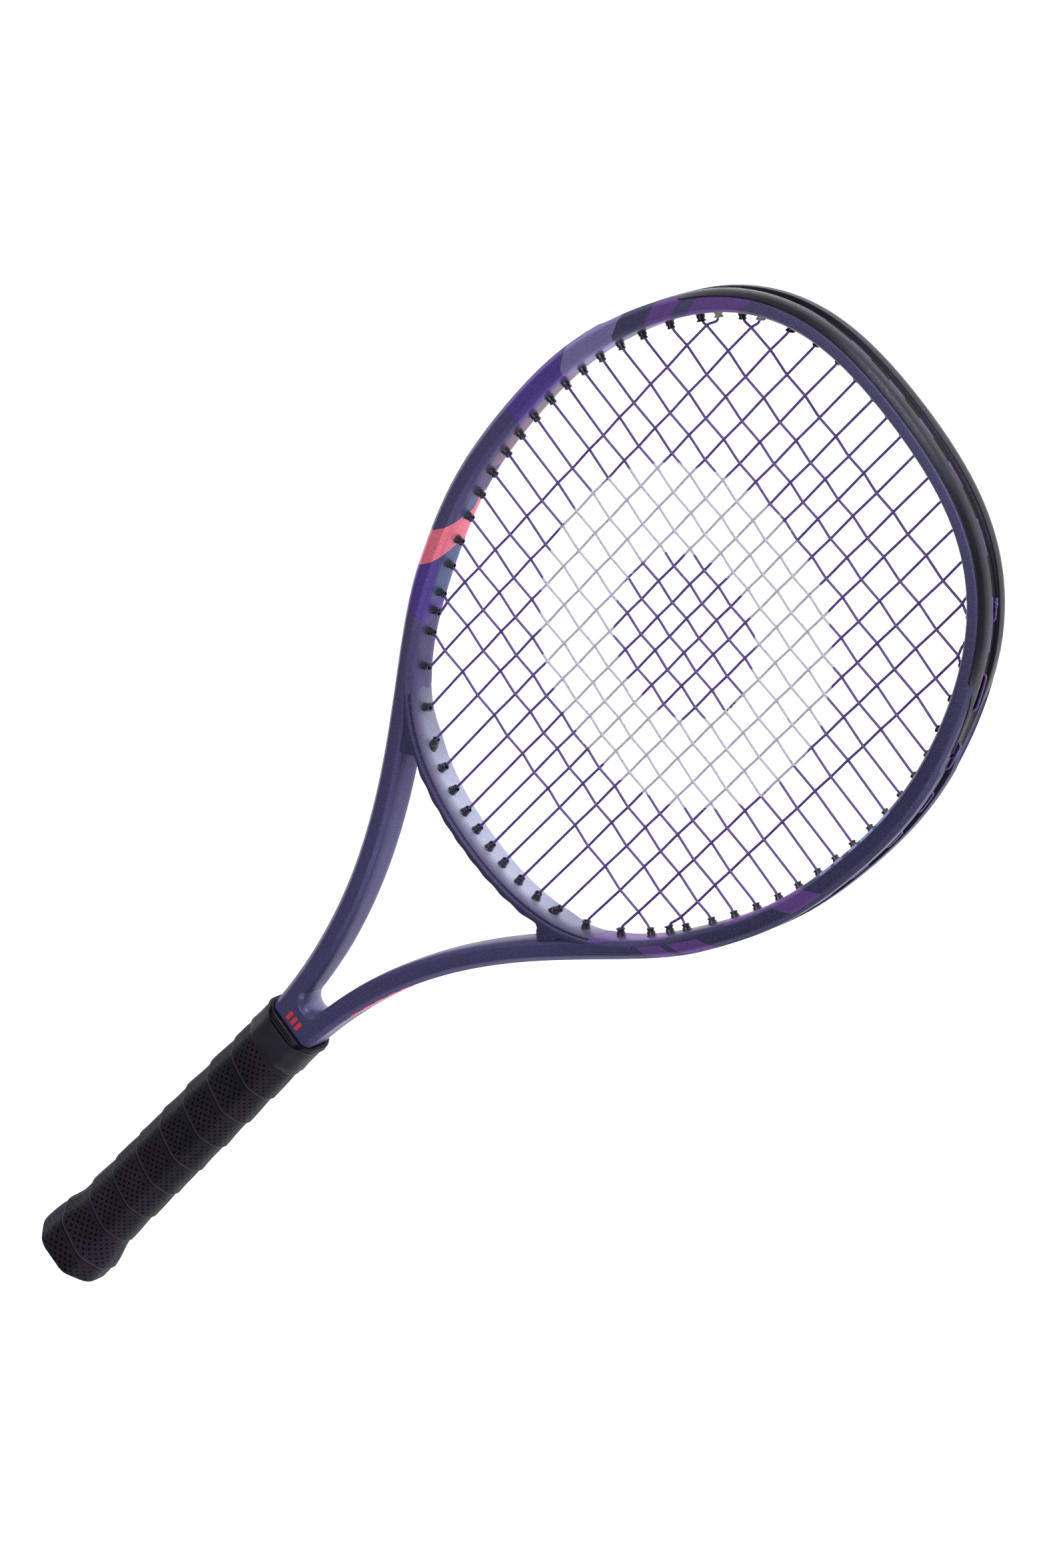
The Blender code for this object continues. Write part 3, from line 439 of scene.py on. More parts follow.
DOWN = Vector((-1.0, 0.0))
UP = Vector((1.0, 0.0))
ACROSS = Vector((0.0, -1.0))


def string_hole(index, heading, low, high, steered, in_bridge=False, canted=False):
    """The hole whose barrel meets string number index, or stands where it is steered to."""
    def miss(angle):
        mouth = barrel_tip(angle) + lean(angle, heading)
        if heading is ACROSS:
            return mouth.x - cross_x(index)
        return mouth.y - main_y(index, mouth.x)
    if index in steered:
        angle = math.radians(steered[index])
    else:
        angle = root_between(miss, math.radians(low), math.radians(high))
    return Hole(angle, in_bridge, heading, canted)

CROSS_COUNT = len(CROSS_GAPS) + 1
MAINS = range(len(MAIN_OFFSETS))
HEAD_HOLES = [string_hole(index, DOWN, 0.0, 100.0, STEERED_HEAD) for index in MAINS]
THROAT_HOLES = [string_hole(index, UP, 180.0, 110.0, STEERED_THROAT, index < BRIDGE_MAINS,
                            index == BRIDGE_MAINS - 1) for index in MAINS]
SIDE_HOLES = [string_hole(index, ACROSS, 20.0, 170.0, STEERED_SIDE)
              for index in range(CROSS_COUNT)]
BUMPER_HOLES = [hole for hole in HEAD_HOLES + SIDE_HOLES if hole.angle < BUMPER_ANGLE]
STRIP_HOLES = ([hole for hole in SIDE_HOLES if hole.angle >= BUMPER_ANGLE]
               + THROAT_HOLES[BRIDGE_MAINS:])


# ---- material nodes

class Nodes:
    """Short names for the nodes of one material."""

    def __init__(self, name):
        self.material = bpy.data.materials.new(name)
        self.material.use_nodes = True
        self.tree = self.material.node_tree
        self.shader = self.tree.nodes["Principled BSDF"]

    def plug(self, socket, value):
        if isinstance(value, bpy.types.NodeSocket):
            self.tree.links.new(value, socket)
        elif isinstance(value, tuple) and len(value) == 3 and socket.type == "RGBA":
            socket.default_value = (*value, 1.0)
        else:
            socket.default_value = value

    def new(self, kind, inputs=(), **settings):
        """A node with its settings made, and its inputs plugged in by name or number."""
        node = self.tree.nodes.new("ShaderNode" + kind)
        for key, value in settings.items():
            setattr(node, key, value)
        for key, value in dict(inputs).items():
            self.plug(node.inputs[key], value)
        return node

    def math(self, operation, *values):
        return self.new("Math", enumerate(values), operation=operation).outputs[0]

    def mix(self, share, low, high, blend="MIX"):
        node = self.new("Mix", {"Factor": share, "A": low, "B": high}, data_type="RGBA",
                        blend_type=blend)
        return [out for out in node.outputs if out.type == "RGBA"][0]

    def attribute(self, name):
        return self.new("Attribute", attribute_name=name).outputs["Fac"]

    def position(self):
        return self.new("TexCoord").outputs["Object"]

    def split(self, vector):
        return tuple(self.new("SeparateXYZ", {0: vector}).outputs)

    def noise(self, scale, detail=2.0, roughness=0.5, vector=None):
        vector = self.position() if vector is None else vector
        return self.new("TexNoise", {"Vector": vector, "Scale": scale, "Detail": detail,
                                     "Roughness": roughness}).outputs["Fac"]

    def voronoi(self, scale, output="Distance"):
        return self.new("TexVoronoi", {"Vector": self.position(), "Scale": scale}).outputs[output]

    def spread(self, value, low, high, to_low=0.0, to_high=1.0):
        names = ("Value", "From Min", "From Max", "To Min", "To Max")
        inputs = zip(names, (value, low, high, to_low, to_high))
        return self.new("MapRange", inputs).outputs["Result"]

    def scale_vector(self, vector, factors):
        return self.new("VectorMath", {0: vector, 1: factors}, operation="MULTIPLY").outputs[0]

    def bump(self, height, strength, distance):
        node = self.new("Bump", {"Strength": strength, "Distance": distance, "Height": height})
        self.plug(self.shader.inputs["Normal"], node.outputs["Normal"])

    def paint(self, **sockets):
        for name, value in sockets.items():
            self.plug(self.shader.inputs[name.replace("_", " ")], value)
        return self.material

def srgb(red, green, blue):
    """Linear colour from 0 to 255 screen values."""
    out = []
    for value in (red, green, blue):
        value /= 255.0
        out.append(value / 12.92 if value <= 0.04045 else ((value + 0.055) / 1.055) ** 2.4)
    return tuple(out)


LIT_TIP = (0.100, 0.094, 0.195)
NAVY = (0.050, 0.046, 0.108)
SLATE = (0.085, 0.069, 0.165)
SLATE_DEEP = (0.064, 0.060, 0.128)
DUSK = (0.052, 0.045, 0.112)
PLUM = (0.082, 0.071, 0.176)
INDIGO = (0.092, 0.055, 0.275)
VIOLET = (0.145, 0.072, 0.270)
LAVENDER = (0.205, 0.178, 0.375)
CORAL = (0.86, 0.190, 0.265)
BLUSH = (0.22, 0.125, 0.165)
STEEL = (0.080, 0.115, 0.245)
FLOOR_REFLECTION_TINT = (0.58, 0.62, 0.78)
DASH = (0.22, 0.28, 0.55)
RED = (0.80, 0.07, 0.10)

WHOLE = 30.0                    # half width of a zone over the whole face

# Paint zones on the hoop. Each is: colour, middle along the tube from the tip (left is
# plus), half length, slant across the face, slant down the inner wall, the band across
# the face that it covers, as middle and half width, and how far down it starts.
ZONES = (
    (STEEL, 297.0, 7.5, 0.0, -0.3, -5.3, 0.7, 7.0),
    (INDIGO, 338.0, 16.0, -0.75, 0.0, 0.0, WHOLE, 0.0),
    (STEEL, 333.0, 18.0, 0.0, -0.5, -5.3, 0.7, 5.6),
    (CORAL, 318.1, 9.3, 0.83, -0.55, 0.0, WHOLE, 0.0),
    (CORAL, 297.0, 11.0, 0.0, 0.0, -5.3, 1.5, 14.2),
    (INDIGO, 217.3, 20.3, -0.25, 0.1, 0.0, WHOLE, 0.0),
    (LAVENDER, 180.2, 17.2, -1.15, 0.0, 0.0, WHOLE, 0.0),
    (SLATE_DEEP, 153.5, 9.5, -1.2, 0.0, 0.0, WHOLE, 0.0),
    (VIOLET, 135.5, 7.5, -1.2, 0.0, -1.5, 5.5, 0.0),
    (VIOLET, 104.5, 14.0, -1.2, 0.3, -1.5, 5.5, 0.0),
    (VIOLET, -371.0, 22.0, 0.0, 0.0, -4.3, 1.0, 0.0),
    (VIOLET, -357.5, 7.0, 1.3, 0.0, 3.0, 4.0, 0.0),
    (VIOLET, -337.5, 8.8, 1.3, 0.0, 2.7, 4.0, 0.0),
    (VIOLET, -291.0, 23.0, 0.0, 0.0, -4.4, 0.9, 0.0),
    (VIOLET, -270.5, 10.0, 1.2, 0.0, -1.0, 4.4, 0.0),
    (DASH, -246.4, 3.8, 0.6, 0.0, -4.1, 0.8, 0.0),
    (DASH, -237.4, 2.7, 0.6, 0.0, -4.1, 0.8, 0.0),
    (DASH, -227.2, 2.9, 0.6, 0.0, -4.0, 0.8, 0.0),
    (DASH, -217.0, 4.9, 0.6, 0.0, -3.9, 0.8, 0.0),
    (DASH, -204.5, 5.3, 0.6, 0.0, -3.8, 0.8, 0.0),
) + tuple((RED, -510.0 - 9.0 * step, 2.4, 0.0, 0.5, 5.3, 1.7, 4.0) for step in range(5))


def paint_material(name, zoned, throat=SLATE, gloss=0.14, crease_shade=0.0, fade=(2.6, 16.5),
                   strength=0.7):
    """Matte metallic paint: dark base, sparkling flake, the paint zones where asked, a pale
    painted reflection of the floor low on the inner walls near the throat, and painted crease
    shade where asked.
    """
    nodes = Nodes(name)
    z = nodes.split(nodes.position())[2]
    along = nodes.attribute("along")
    across = nodes.attribute("across")
    depth = nodes.math("MULTIPLY_ADD", z, -1000.0, HOOP_HALF_HEIGHT)
    cloud = nodes.noise(14.0, 3.0)
    # Painted light: the navy face is painted lighter towards the tip, where light falls from the
    # tip's side.
    right = nodes.mix(nodes.spread(along, -170.0, -40.0), NAVY, LIT_TIP)
    crown = nodes.mix(nodes.spread(along, 20.0, 160.0), right, SLATE)
    left = nodes.mix(nodes.spread(along, 400.0, 470.0), crown, PLUM)
    base = nodes.mix(nodes.spread(along, -420.0, -330.0), PLUM, left) if zoned else throat
    colour = nodes.mix(nodes.spread(cloud, 0.35, 0.7, 0.0, 0.18), base, SLATE_DEEP)
    metal = 0.16
    if zoned:
        blush_band = nodes.math("MULTIPLY", nodes.spread(depth, 6.5, 10.0),
                                nodes.math("COMPARE", along, 236.0, 34.0))
        blush_band = nodes.math("MULTIPLY", blush_band,
                                nodes.math("LESS_THAN", across, -5.0))
        for tint, middle, half, slant, fall, band, band_half, down in ZONES:
            line = nodes.math("MULTIPLY_ADD", across, -slant, along)
            if fall:
                line = nodes.math("MULTIPLY_ADD", depth, -fall, line)
            inside = nodes.math("COMPARE", line, middle, half)
            if band_half < WHOLE:
                inside = nodes.math("MULTIPLY", inside,
                                    nodes.math("COMPARE", across, band, band_half))
            if down:
                inside = nodes.math("MULTIPLY", inside,
                                    nodes.math("GREATER_THAN", depth, down))
            colour = nodes.mix(inside, colour, tint)
            if tint == CORAL:
                metal = nodes.math("MULTIPLY_ADD", inside, -0.12, 0.16)
        colour = nodes.mix(blush_band, colour, BLUSH)
    # Painted reflection: the inner wall is painted pale towards its back edge, standing in for the
    # white floor reflected there. fade gives the depths over which it comes in and strength how
    # far it goes. It is strongest at the throat ends of the hoop, on the bridge and on the crotch
    # filler.
    span = nodes.math("ABSOLUTE", along)
    floor_reflection = nodes.math("POWER", nodes.spread(depth, *fade), 1.3)
    inner_wall = nodes.math("LESS_THAN", across, -4.0)
    reach = nodes.math("MULTIPLY", nodes.spread(span, 383.0, 443.0, 0.0, strength),
                       nodes.spread(span, 391.0, 396.0, 0.6, 0.0) if zoned else 1.0)
    floor_reflection = nodes.math("MULTIPLY", nodes.math("MULTIPLY", floor_reflection, inner_wall), reach)
    colour = nodes.mix(floor_reflection, colour, FLOOR_REFLECTION_TINT)
    # Painted shade: a dark line along the concave crease between the bridge's rim and its inner
    # wall.
    if crease_shade:
        line = nodes.math("COMPARE", across, -3.5, 0.42)
        colour = nodes.mix(nodes.math("MULTIPLY", line, crease_shade), colour, (0.02, 0.017, 0.044))
    flake = nodes.noise(2400.0, 2.0)
    colour = nodes.mix(1.0, colour, nodes.mix(nodes.spread(flake, 0.3, 0.7), (0.72, 0.72, 0.74),
                                              (1.28, 1.28, 1.26)), "MULTIPLY")
    spark = nodes.voronoi(3600.0, output="Color")
    glint = nodes.spread(nodes.split(spark)[0], 0.93, 0.97)
    colour = nodes.mix(nodes.math("MULTIPLY", glint, 0.45), colour, (0.16, 0.18, 0.42))
    nodes.bump(nodes.noise(1400.0, 2.0), 0.05, 0.0002)
    scuff = nodes.noise(90.0, 4.0, 0.65)
    return nodes.paint(Base_Color=colour, Metallic=metal, Specular_IOR_Level=gloss,
                       Specular_Tint=(0.72, 0.68, 1.0),
                       Roughness=nodes.spread(scuff, 0.3, 0.75, 0.33, 0.42))


def moulded_material(name, dark, light, roughness, grain=1200.0, strength=0.25, gloss=0.35):
    """Moulded or extruded polymer: cloudy tone, fine grain and a little wear."""
    nodes = Nodes(name)
    cloud = nodes.noise(60.0, 4.0, 0.6)
    fine = nodes.noise(grain, 3.0, 0.6)
    wear = nodes.spread(nodes.noise(260.0, 5.0, 0.7), 0.62, 0.8, 0.0, 0.5)
    colour = nodes.mix(nodes.spread(cloud, 0.3, 0.7), dark, light)
    colour = nodes.mix(wear, colour, tuple(min(1.0, 1.6 * v) for v in light))
    nodes.bump(fine, strength, 0.00012)
    return nodes.paint(Base_Color=colour, Specular_IOR_Level=gloss,
                       Specular_Tint=(0.8, 0.76, 1.0),
                       Roughness=nodes.spread(fine, 0.3, 0.7, roughness - 0.08, roughness + 0.1))


# Stencilled ring on the string bed, in metres
STENCIL_CENTRE_X = 0.517
STENCIL_RADIUS = 0.062
STENCIL_HALF_WIDTH = 0.0205
BED_HALF_HEIGHT = 0.0022

def string_material(name):
    """Purple co-polymer with a pale stencilled ring on the middle of the bed."""
    nodes = Nodes(name)
    x, y, z = nodes.split(nodes.position())
    streak = nodes.noise(1.0, 3.0, 0.6, nodes.scale_vector(nodes.position(),
                                                          (350.0, 350.0, 900.0)))
    colour = nodes.mix(nodes.spread(streak, 0.3, 0.7), srgb(78, 56, 118), srgb(108, 82, 156))
    offset_x = nodes.math("SUBTRACT", x, STENCIL_CENTRE_X)
    reach = nodes.math("SQRT", nodes.math("ADD", nodes.math("MULTIPLY", offset_x, offset_x),
                                          nodes.math("MULTIPLY", y, y)))
    ragged = nodes.math("MULTIPLY_ADD", nodes.noise(420.0, 3.0, 0.7), 0.006, reach)
    ring = nodes.math("COMPARE", ragged, STENCIL_RADIUS, STENCIL_HALF_WIDTH)
    on_bed = nodes.math("COMPARE", z, 0.0, BED_HALF_HEIGHT)
    ink = nodes.math("MULTIPLY", ring, on_bed)
    worn = nodes.spread(nodes.noise(1500.0, 2.0), 0.28, 0.42)
    ink = nodes.math("MULTIPLY", ink, worn)
    colour = nodes.mix(ink, colour, srgb(205, 202, 216))
    nodes.bump(streak, 0.15, 0.0001)
    return nodes.paint(Base_Color=colour, IOR=1.5,
                       Roughness=nodes.spread(streak, 0.3, 0.7, 0.28, 0.42))


# Across one turn of the grip, in millimetres: spacing of the holes, then middle and half
# width of the perforated band, of the turn's raised edge and of the gutter beside it
HOLE_ROW = 2.0
HOLE_COLUMN = 4.0
HOLE_BAND = (10.4, 8.3)
TURN_EDGE = (0.8, 0.55)
TURN_GUTTER = (20.8, 0.45)

def grip_material(name):
    """Perforated cushioned grip: fine leather-like grain with staggered rows of holes, a painted
    highlight on each turn's raised edge and a painted shadow in the gutter beside it.
    """
    nodes = Nodes(name)
    run = nodes.attribute("wrap_run")
    rise = nodes.attribute("wrap_rise")
    row = nodes.math("DIVIDE", rise, HOLE_ROW)
    odd = nodes.math("MULTIPLY", nodes.math("MODULO", nodes.math("FLOOR", row), 2.0), 0.5)
    column = nodes.math("ADD", nodes.math("DIVIDE", run, HOLE_COLUMN), odd)
    side = nodes.math("MULTIPLY", nodes.math("SUBTRACT", nodes.math("FRACT", column), 0.5),
                      HOLE_COLUMN)
    up = nodes.math("MULTIPLY", nodes.math("SUBTRACT", nodes.math("FRACT", row), 0.5), HOLE_ROW)
    away = nodes.math("SQRT", nodes.math("ADD", nodes.math("MULTIPLY", side, side),
                                         nodes.math("MULTIPLY", up, up)))
    hole = nodes.math("MULTIPLY", nodes.spread(away, 0.56, 0.76, 1.0, 0.0),
                      nodes.math("COMPARE", rise, *HOLE_BAND))
    # Painted shadow in the gutter of each turn and painted highlight along its raised edge.
    shadow = nodes.math("COMPARE", rise, *TURN_GUTTER)
    edge = nodes.math("COMPARE", rise, *TURN_EDGE)
    cloud = nodes.noise(45.0, 4.0, 0.6)
    grain = nodes.noise(1500.0, 4.0, 0.6)
    colour = nodes.mix(nodes.spread(cloud, 0.3, 0.7), srgb(32, 29, 39), srgb(46, 42, 55))
    # Painted highlight on the raised edge, then painted shadow in the gutter.
    colour = nodes.mix(nodes.math("MULTIPLY", edge, 0.5), colour, srgb(88, 82, 100))
    colour = nodes.mix(nodes.math("MULTIPLY", shadow, 0.8), colour, srgb(6, 5, 8))
    # Painted shade: the perforations are coloured near black for the shade inside them.
    colour = nodes.mix(hole, colour, (0.0003, 0.0003, 0.0004))
    height = nodes.math("SUBTRACT", nodes.math("MULTIPLY", grain, 0.25), hole)
    nodes.bump(height, 0.7, 0.0003)
    return nodes.paint(Base_Color=colour, Specular_IOR_Level=0.1,
                       Specular_Tint=(0.78, 0.72, 1.0),
                       Roughness=nodes.spread(cloud, 0.3, 0.7, 0.5, 0.64))


def foam_material(name, dark, light):
    nodes = Nodes(name)
    cells = nodes.voronoi(1400.0)
    cloud = nodes.noise(80.0, 3.0)
    colour = nodes.mix(nodes.spread(cells, 0.1, 0.6), dark, light)
    colour = nodes.mix(nodes.spread(cloud, 0.3, 0.7, 0.0, 0.3), colour, dark)
    nodes.bump(cells, 0.6, 0.0003)
    return nodes.paint(Base_Color=colour, Roughness=nodes.spread(cloud, 0.3, 0.7, 0.8, 0.95))


def metal_material(name):
    nodes = Nodes(name)
    brushed = nodes.noise(1.0, 3.0, 0.6, nodes.scale_vector(nodes.position(),
                                                           (4000.0, 600.0, 600.0)))
    colour = nodes.mix(nodes.spread(brushed, 0.3, 0.7), srgb(150, 150, 152), srgb(196, 196, 198))
    nodes.bump(brushed, 0.15, 0.00005)
    return nodes.paint(Base_Color=colour, Metallic=1.0,
                       Roughness=nodes.spread(brushed, 0.3, 0.7, 0.25, 0.4))


PAINT = paint_material("frame_paint", True)
# The bridge gets painted crease shade and a painted floor reflection on its inner wall.
BRIDGE_PAINT = paint_material("bridge_paint", False, DUSK, 0.45, 0.8, (2.0, 9.5), 0.74)
CROTCH_PAINT = paint_material("crotch_paint", False, PLUM, 0.6)
STRING = string_material("string_purple")
GRIP = grip_material("grip_leather")
BLACK, BUMPER, CREAM, TAPE, RUBBER, DISC, CAP, MARK = (moulded_material(*row) for row in (
    ("grommet_nylon", srgb(36, 36, 40), srgb(56, 56, 62), 0.27, 1200.0, 0.12, 0.6),
    ("bumper_nylon", srgb(19, 17, 23), srgb(29, 26, 35), 0.36, 900.0, 0.15, 0.4),
    ("grommet_clear", srgb(128, 124, 108), srgb(176, 172, 152), 0.3),
    ("finishing_tape", srgb(33, 31, 39), srgb(46, 43, 53), 0.55, 700.0, 0.35, 0.2),
    ("collar_rubber", srgb(9, 8, 12), srgb(16, 14, 21), 0.3, 300.0, 0.05, 0.16),
    ("disc_plum", srgb(44, 38, 66), srgb(62, 54, 90), 0.42),
    ("butt_cap_plastic", srgb(24, 24, 27), srgb(38, 38, 42), 0.42),
    ("mark_red", RED, srgb(222, 60, 70), 0.45, 900.0, 0.1),
))

# ---- carbon frame

FRAME_RADII = (0.25, 0.3, 1.2, 1.0, 1.3, 0.5, 1.2, 3.0)


def frame_half_section(place):
    width = half_width(place)
    height = half_height(place)
    share = ramp(half_place(place), *GROOVE_START)
    groove = GROOVE_DEPTH * share
    recess = BUMPER_RECESS * recess_share(place) * share
    push = inner_push(place)
    return [
        (width - groove, GROOVE_HALF_HEIGHT),
        (width - recess, GROOVE_HALF_HEIGHT + 0.3),
        (width - recess, height - 3.1),
        (width - 0.55, height - 2.5),
        (width - 2.8, height),
        (2.6 - width + push, height),
        (0.5 - width + push, height - 2.6),
        (push - width, height - 5.6),
    ]


def inner_push(place):
    """How far the shaft's inner wall steps back so that the ring's inner wall runs through."""
    if not 1.7 < half_place(place) < 2.0:
        return 0.0
    _, offset = nearest_hoop(frame_offset(half_place(place), -half_width(place)))
    return max(0.0, -HOOP_HALF_WIDTH - offset)


def frame_places():
    left = np.linspace(0.0, SWELL_START, 8).tolist()
    left += np.linspace(SWELL_START, 1.0, 7)[1:].tolist()
    left += np.linspace(1.0, 2.0, 91)[1:].tolist()
    left += np.linspace(2.0, 3.0, 301)[1:].tolist()
    return left + [6.0 - place for place in reversed(left[:-1])]


def build_frame():
    places = frame_places()
    grid = []
    across = []
    for place in places:
        section = round_ring(frame_half_section(place), FRAME_RADII)
        grid.append(frame_ring(place, section))
        across.append(section[:, 0])
    centres = np.array([frame_point(place)[:] for place in places])
    lengths = np.concatenate([[0.0], np.cumsum(np.linalg.norm(np.diff(centres, axis=0), axis=1))])
    lengths = lengths[len(places) // 2] - lengths
    along = np.repeat(lengths[:, None], len(grid[0]), axis=1)
    made = one_body("frame_painted", PAINT, grid, along=along, across=np.array(across))
    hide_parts("frame_hairpin")
    return made


# ---- throat bridge

def bridge_outer(angle):
    inner = hoop_offset(angle, -HOOP_HALF_WIDTH)
    if abs(inner.y) < WEB_START_Y:
        return BRIDGE_OUTER
    left = Vector((inner.x, abs(inner.y)))
    normal = hoop_normal(angle)
    outward = Vector((normal.x, abs(normal.y)))
    try:
        _, point = curve_hit(FRAME_INNER_CURVE, left, outward)
        room = (point - left).length - HOOP_HALF_WIDTH + 2.2
    except ValueError:
        room = BRIDGE_OUTER
    return BRIDGE_OUTER + (room - BRIDGE_OUTER) * ramp(abs(inner.y), WEB_START_Y, WEB_FULL_Y)


def bridge_scallop(angle):
    """The bead swells a little at each string hole."""
    swell_sum = 0.0
    for hole in THROAT_HOLES[:BRIDGE_MAINS]:
        for middle in (hole.angle, 2.0 * math.pi - hole.angle):
            swell_sum += math.exp(-((angle - middle) / math.radians(1.7)) ** 2)
    return 0.9 * (swell_sum - 0.75)


def bridge_half_section(angle):
    from_middle = abs(math.pi - angle)
    outer = bridge_outer(angle)
    in_web = ramp(outer, BRIDGE_OUTER, BRIDGE_OUTER + 2.5)
    height = mix(BRIDGE_HALF_HEIGHT, 10.38, ramp(from_middle, math.radians(16), math.radians(24)))
    inset = 0.35 * ramp(from_middle, math.radians(28.0), math.radians(30.5))
    height -= inset
    web = WEB_HALF_HEIGHT
    groove = BRIDGE_GROOVE_DEPTH * (1.0 - in_web)
    wave = bridge_scallop(angle) * (1.0 - in_web)
    inner = -HOOP_HALF_WIDTH + inset
    edge = BRIDGE_OUTER + wave
    return [
        (outer - groove, GROOVE_HALF_HEIGHT),
        (outer + 0.4 * wave, GROOVE_HALF_HEIGHT + 0.3),
        (mix(edge, outer, in_web), mix(height - 3.6, web - 1.4, in_web)),
        (mix(edge, outer - 0.6, in_web), mix(height - 3.2, web, in_web)),
        (mix(edge - 0.2, 1.7, in_web), mix(height - 2.0, web, in_web)),
        (mix(edge - 1.2, 1.1, in_web), mix(height - 0.5, web + 0.5, in_web)),
        (-1.5, height),
        (2.5 + inner, height - 0.15),
        (2.1 + inner, height - 1.5),
        (1.3 + inner, height - 2.1),
        (0.4 + inner, height - 5.4),
        (inner, height - 9.0),
    ]


def bridge_halves(angle):
    """Halves of the bridge's ring: a ridged rim in front, a square inner edge behind."""
    front = bridge_half_section(angle)
    inner, height = front[-1][0], front[6][1]
    square = ((inner + 0.9, height - 0.05), (inner + 0.2, height - 0.7),
              (inner + 0.06, height - 2.2), (inner + 0.02, height - 5.4), (inner, height - 9.0))
    share = 1.0 - ramp(abs(math.pi - angle), math.radians(19.0), math.radians(26.0))
    back = front[:7] + [(mix(n, m, share), mix(z, v, share))
                        for (n, z), (m, v) in zip(front[7:], square)]
    return front, back


BRIDGE_RADII = (0.25, 0.3, 0.8, 0.8, 0.6, 0.6, 0.6, 0.35, 0.25, 0.4, 1.8, 1.2)


def build_bridge():
    grid = []
    across = []
    along = []
    steps = 260
    for step in range(steps + 1):
        angle = math.pi + math.radians(BRIDGE_END_ANGLE) * (2.0 * step / steps - 1.0)
        front, back = bridge_halves(angle)
        section = round_ring(front, BRIDGE_RADII, back)
        grid.append(hoop_ring(angle, section))
        across.append(section[:, 0])
        along.append([arc_of_angle(min(angle, 2.0 * math.pi - angle))] * len(section))
    made = one_body("bridge_painted", BRIDGE_PAINT, grid, along=np.array(along),
                    across=np.array(across))
    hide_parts("throat_bridge")
    return made


# ---- crotch filler

CROTCH_X = 219.3
CROTCH_SIDE_X = 227.5
CROTCH_POWER = 2.0 / 2.3        # how square the U is
WEDGE_ALONG = 411.0             # sets how much painted floor reflection the filler shows


def shaft_plan_y(x, offset):
    place = root_between(lambda p: frame_offset(p, offset).x - x, 1.0, 1.6)
    return frame_offset(place, offset).y


def wedge_outline(inset):
    """Plan outline of the filler: straight back, sides in the shafts, U front."""
    side_offset = -SHAFT_FOOT_HALF_WIDTH + 2.6 + 1.2
    half_gap = shaft_plan_y(CROTCH_SIDE_X, -half_width(1.12)) + inset
    depth = CROTCH_SIDE_X - CROTCH_X + inset
    side = [(193.0, shaft_plan_y(196.0, side_offset))]
    side += [(x, shaft_plan_y(x, side_offset))
             for x in (200.0, 207.0, 214.0, 220.0, CROTCH_SIDE_X)]
    front = []
    steps = 36
    for step in range(steps + 1):
        turn = math.pi * step / steps
        y = math.copysign(abs(math.cos(turn)) ** CROTCH_POWER, math.cos(turn)) * half_gap
        front.append((CROTCH_SIDE_X - depth * math.sin(turn) ** CROTCH_POWER, y))
    return side + front + [(x, -y) for x, y in reversed(side)]

def build_wedge():
    height = half_height(1.1) - 0.03
    facets = [(5.0, height), (2.6, height), (0.6, height - 2.5), (0.0, height - 5.6), (0.0, 0.0)]
    rounded = round_section(facets, (0.0, 0.35, 1.0, 1.8, 0.0), 6).tolist()
    profile = [point for point in reversed(rounded) if 0.01 < point[1] and point[0] < 4.0]
    grid = [[(x, y, z) for x, y in wedge_outline(inset)]
            for inset, z in [(inset, -z) for inset, z in reversed(profile)] + profile]
    made = one_body("crotch_filler", CROTCH_PAINT, grid, 50.0, along=WEDGE_ALONG,
                    across=-HOOP_HALF_WIDTH)
    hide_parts("throat_wedge")
    return made

def build_mark():
    """Plain red bars on the face above the collar."""
    shells = Shells()
    face = half_height(1.06)
    bar = round_section([(0.0, -1.0), (5.2, -1.0), (5.2, 1.0), (0.0, 1.0)], (0.5,) * 4, 3)
    for middle_y in (-3.4, 0.0, 3.4):
        shells.add([[(207.2 + x * scale, middle_y + y * scale, face + lift_up) for x, y in bar]
                    for lift_up, scale in ((-0.25, 1.0), (0.03, 1.0), (0.06, 0.94))])
    made = shells.build("face_mark", MARK, 40.0)
    return made

# ---- grommets

def barrel_grid(hole, mirror, proud, flare=0.0):
    """A bored barrel along one hole: rings of a closed tube from its tip into the strip."""
    sides = 20
    tip = hole.tip + (BARREL_PROUD - proud) * hoop_normal(hole.angle)
    length = (hole.exit - tip).length - 1.0
    profile = [
        (0.25, BARREL_BORE + 0.05), (0.0, BARREL_BORE + 0.25 + 0.5 * flare),
        (0.03, 1.66 + flare), (0.22, 1.86 + flare), (0.62, 1.86 + 0.6 * flare),
        (0.82, 1.6 + 0.2 * flare), (1.45, 1.58), (1.65, 1.95), (proud - 0.45, 2.02),
        (proud - 0.25, 2.3), (proud + 0.4, 2.35),
        (length, 2.1), (length, BARREL_BORE), (1.5, BARREL_BORE), (0.6, BARREL_BORE),
    ]
    along = hole.direction
    side = Vector((-along.y, along.x))
    grid = []
    for back, radius in profile:
        ring = []
        for step in range(sides):
            turn = 2.0 * math.pi * step / sides
            plan = tip + along * back + side * (radius * math.cos(turn))
            ring.append((plan.x, -plan.y if mirror else plan.y, radius * math.sin(turn)))
        grid.append(ring)
    return grid


def add_barrels(shells, holes, mirrors, flared=(), longer=0.0):
    for hole in holes:
        for mirror in mirrors:
            on_side = math.radians(60) < hole.angle < math.radians(133)
            proud = BARREL_PROUD_RIGHT if mirror and on_side else BARREL_PROUD
            flare = 0.45 if (hole, mirror) in flared else 0.0
            shells.add(barrel_grid(hole, mirror, proud + longer, flare), wrap=True)


STRIP_RADII = (0.2, 0.25, 0.25, 0.2)


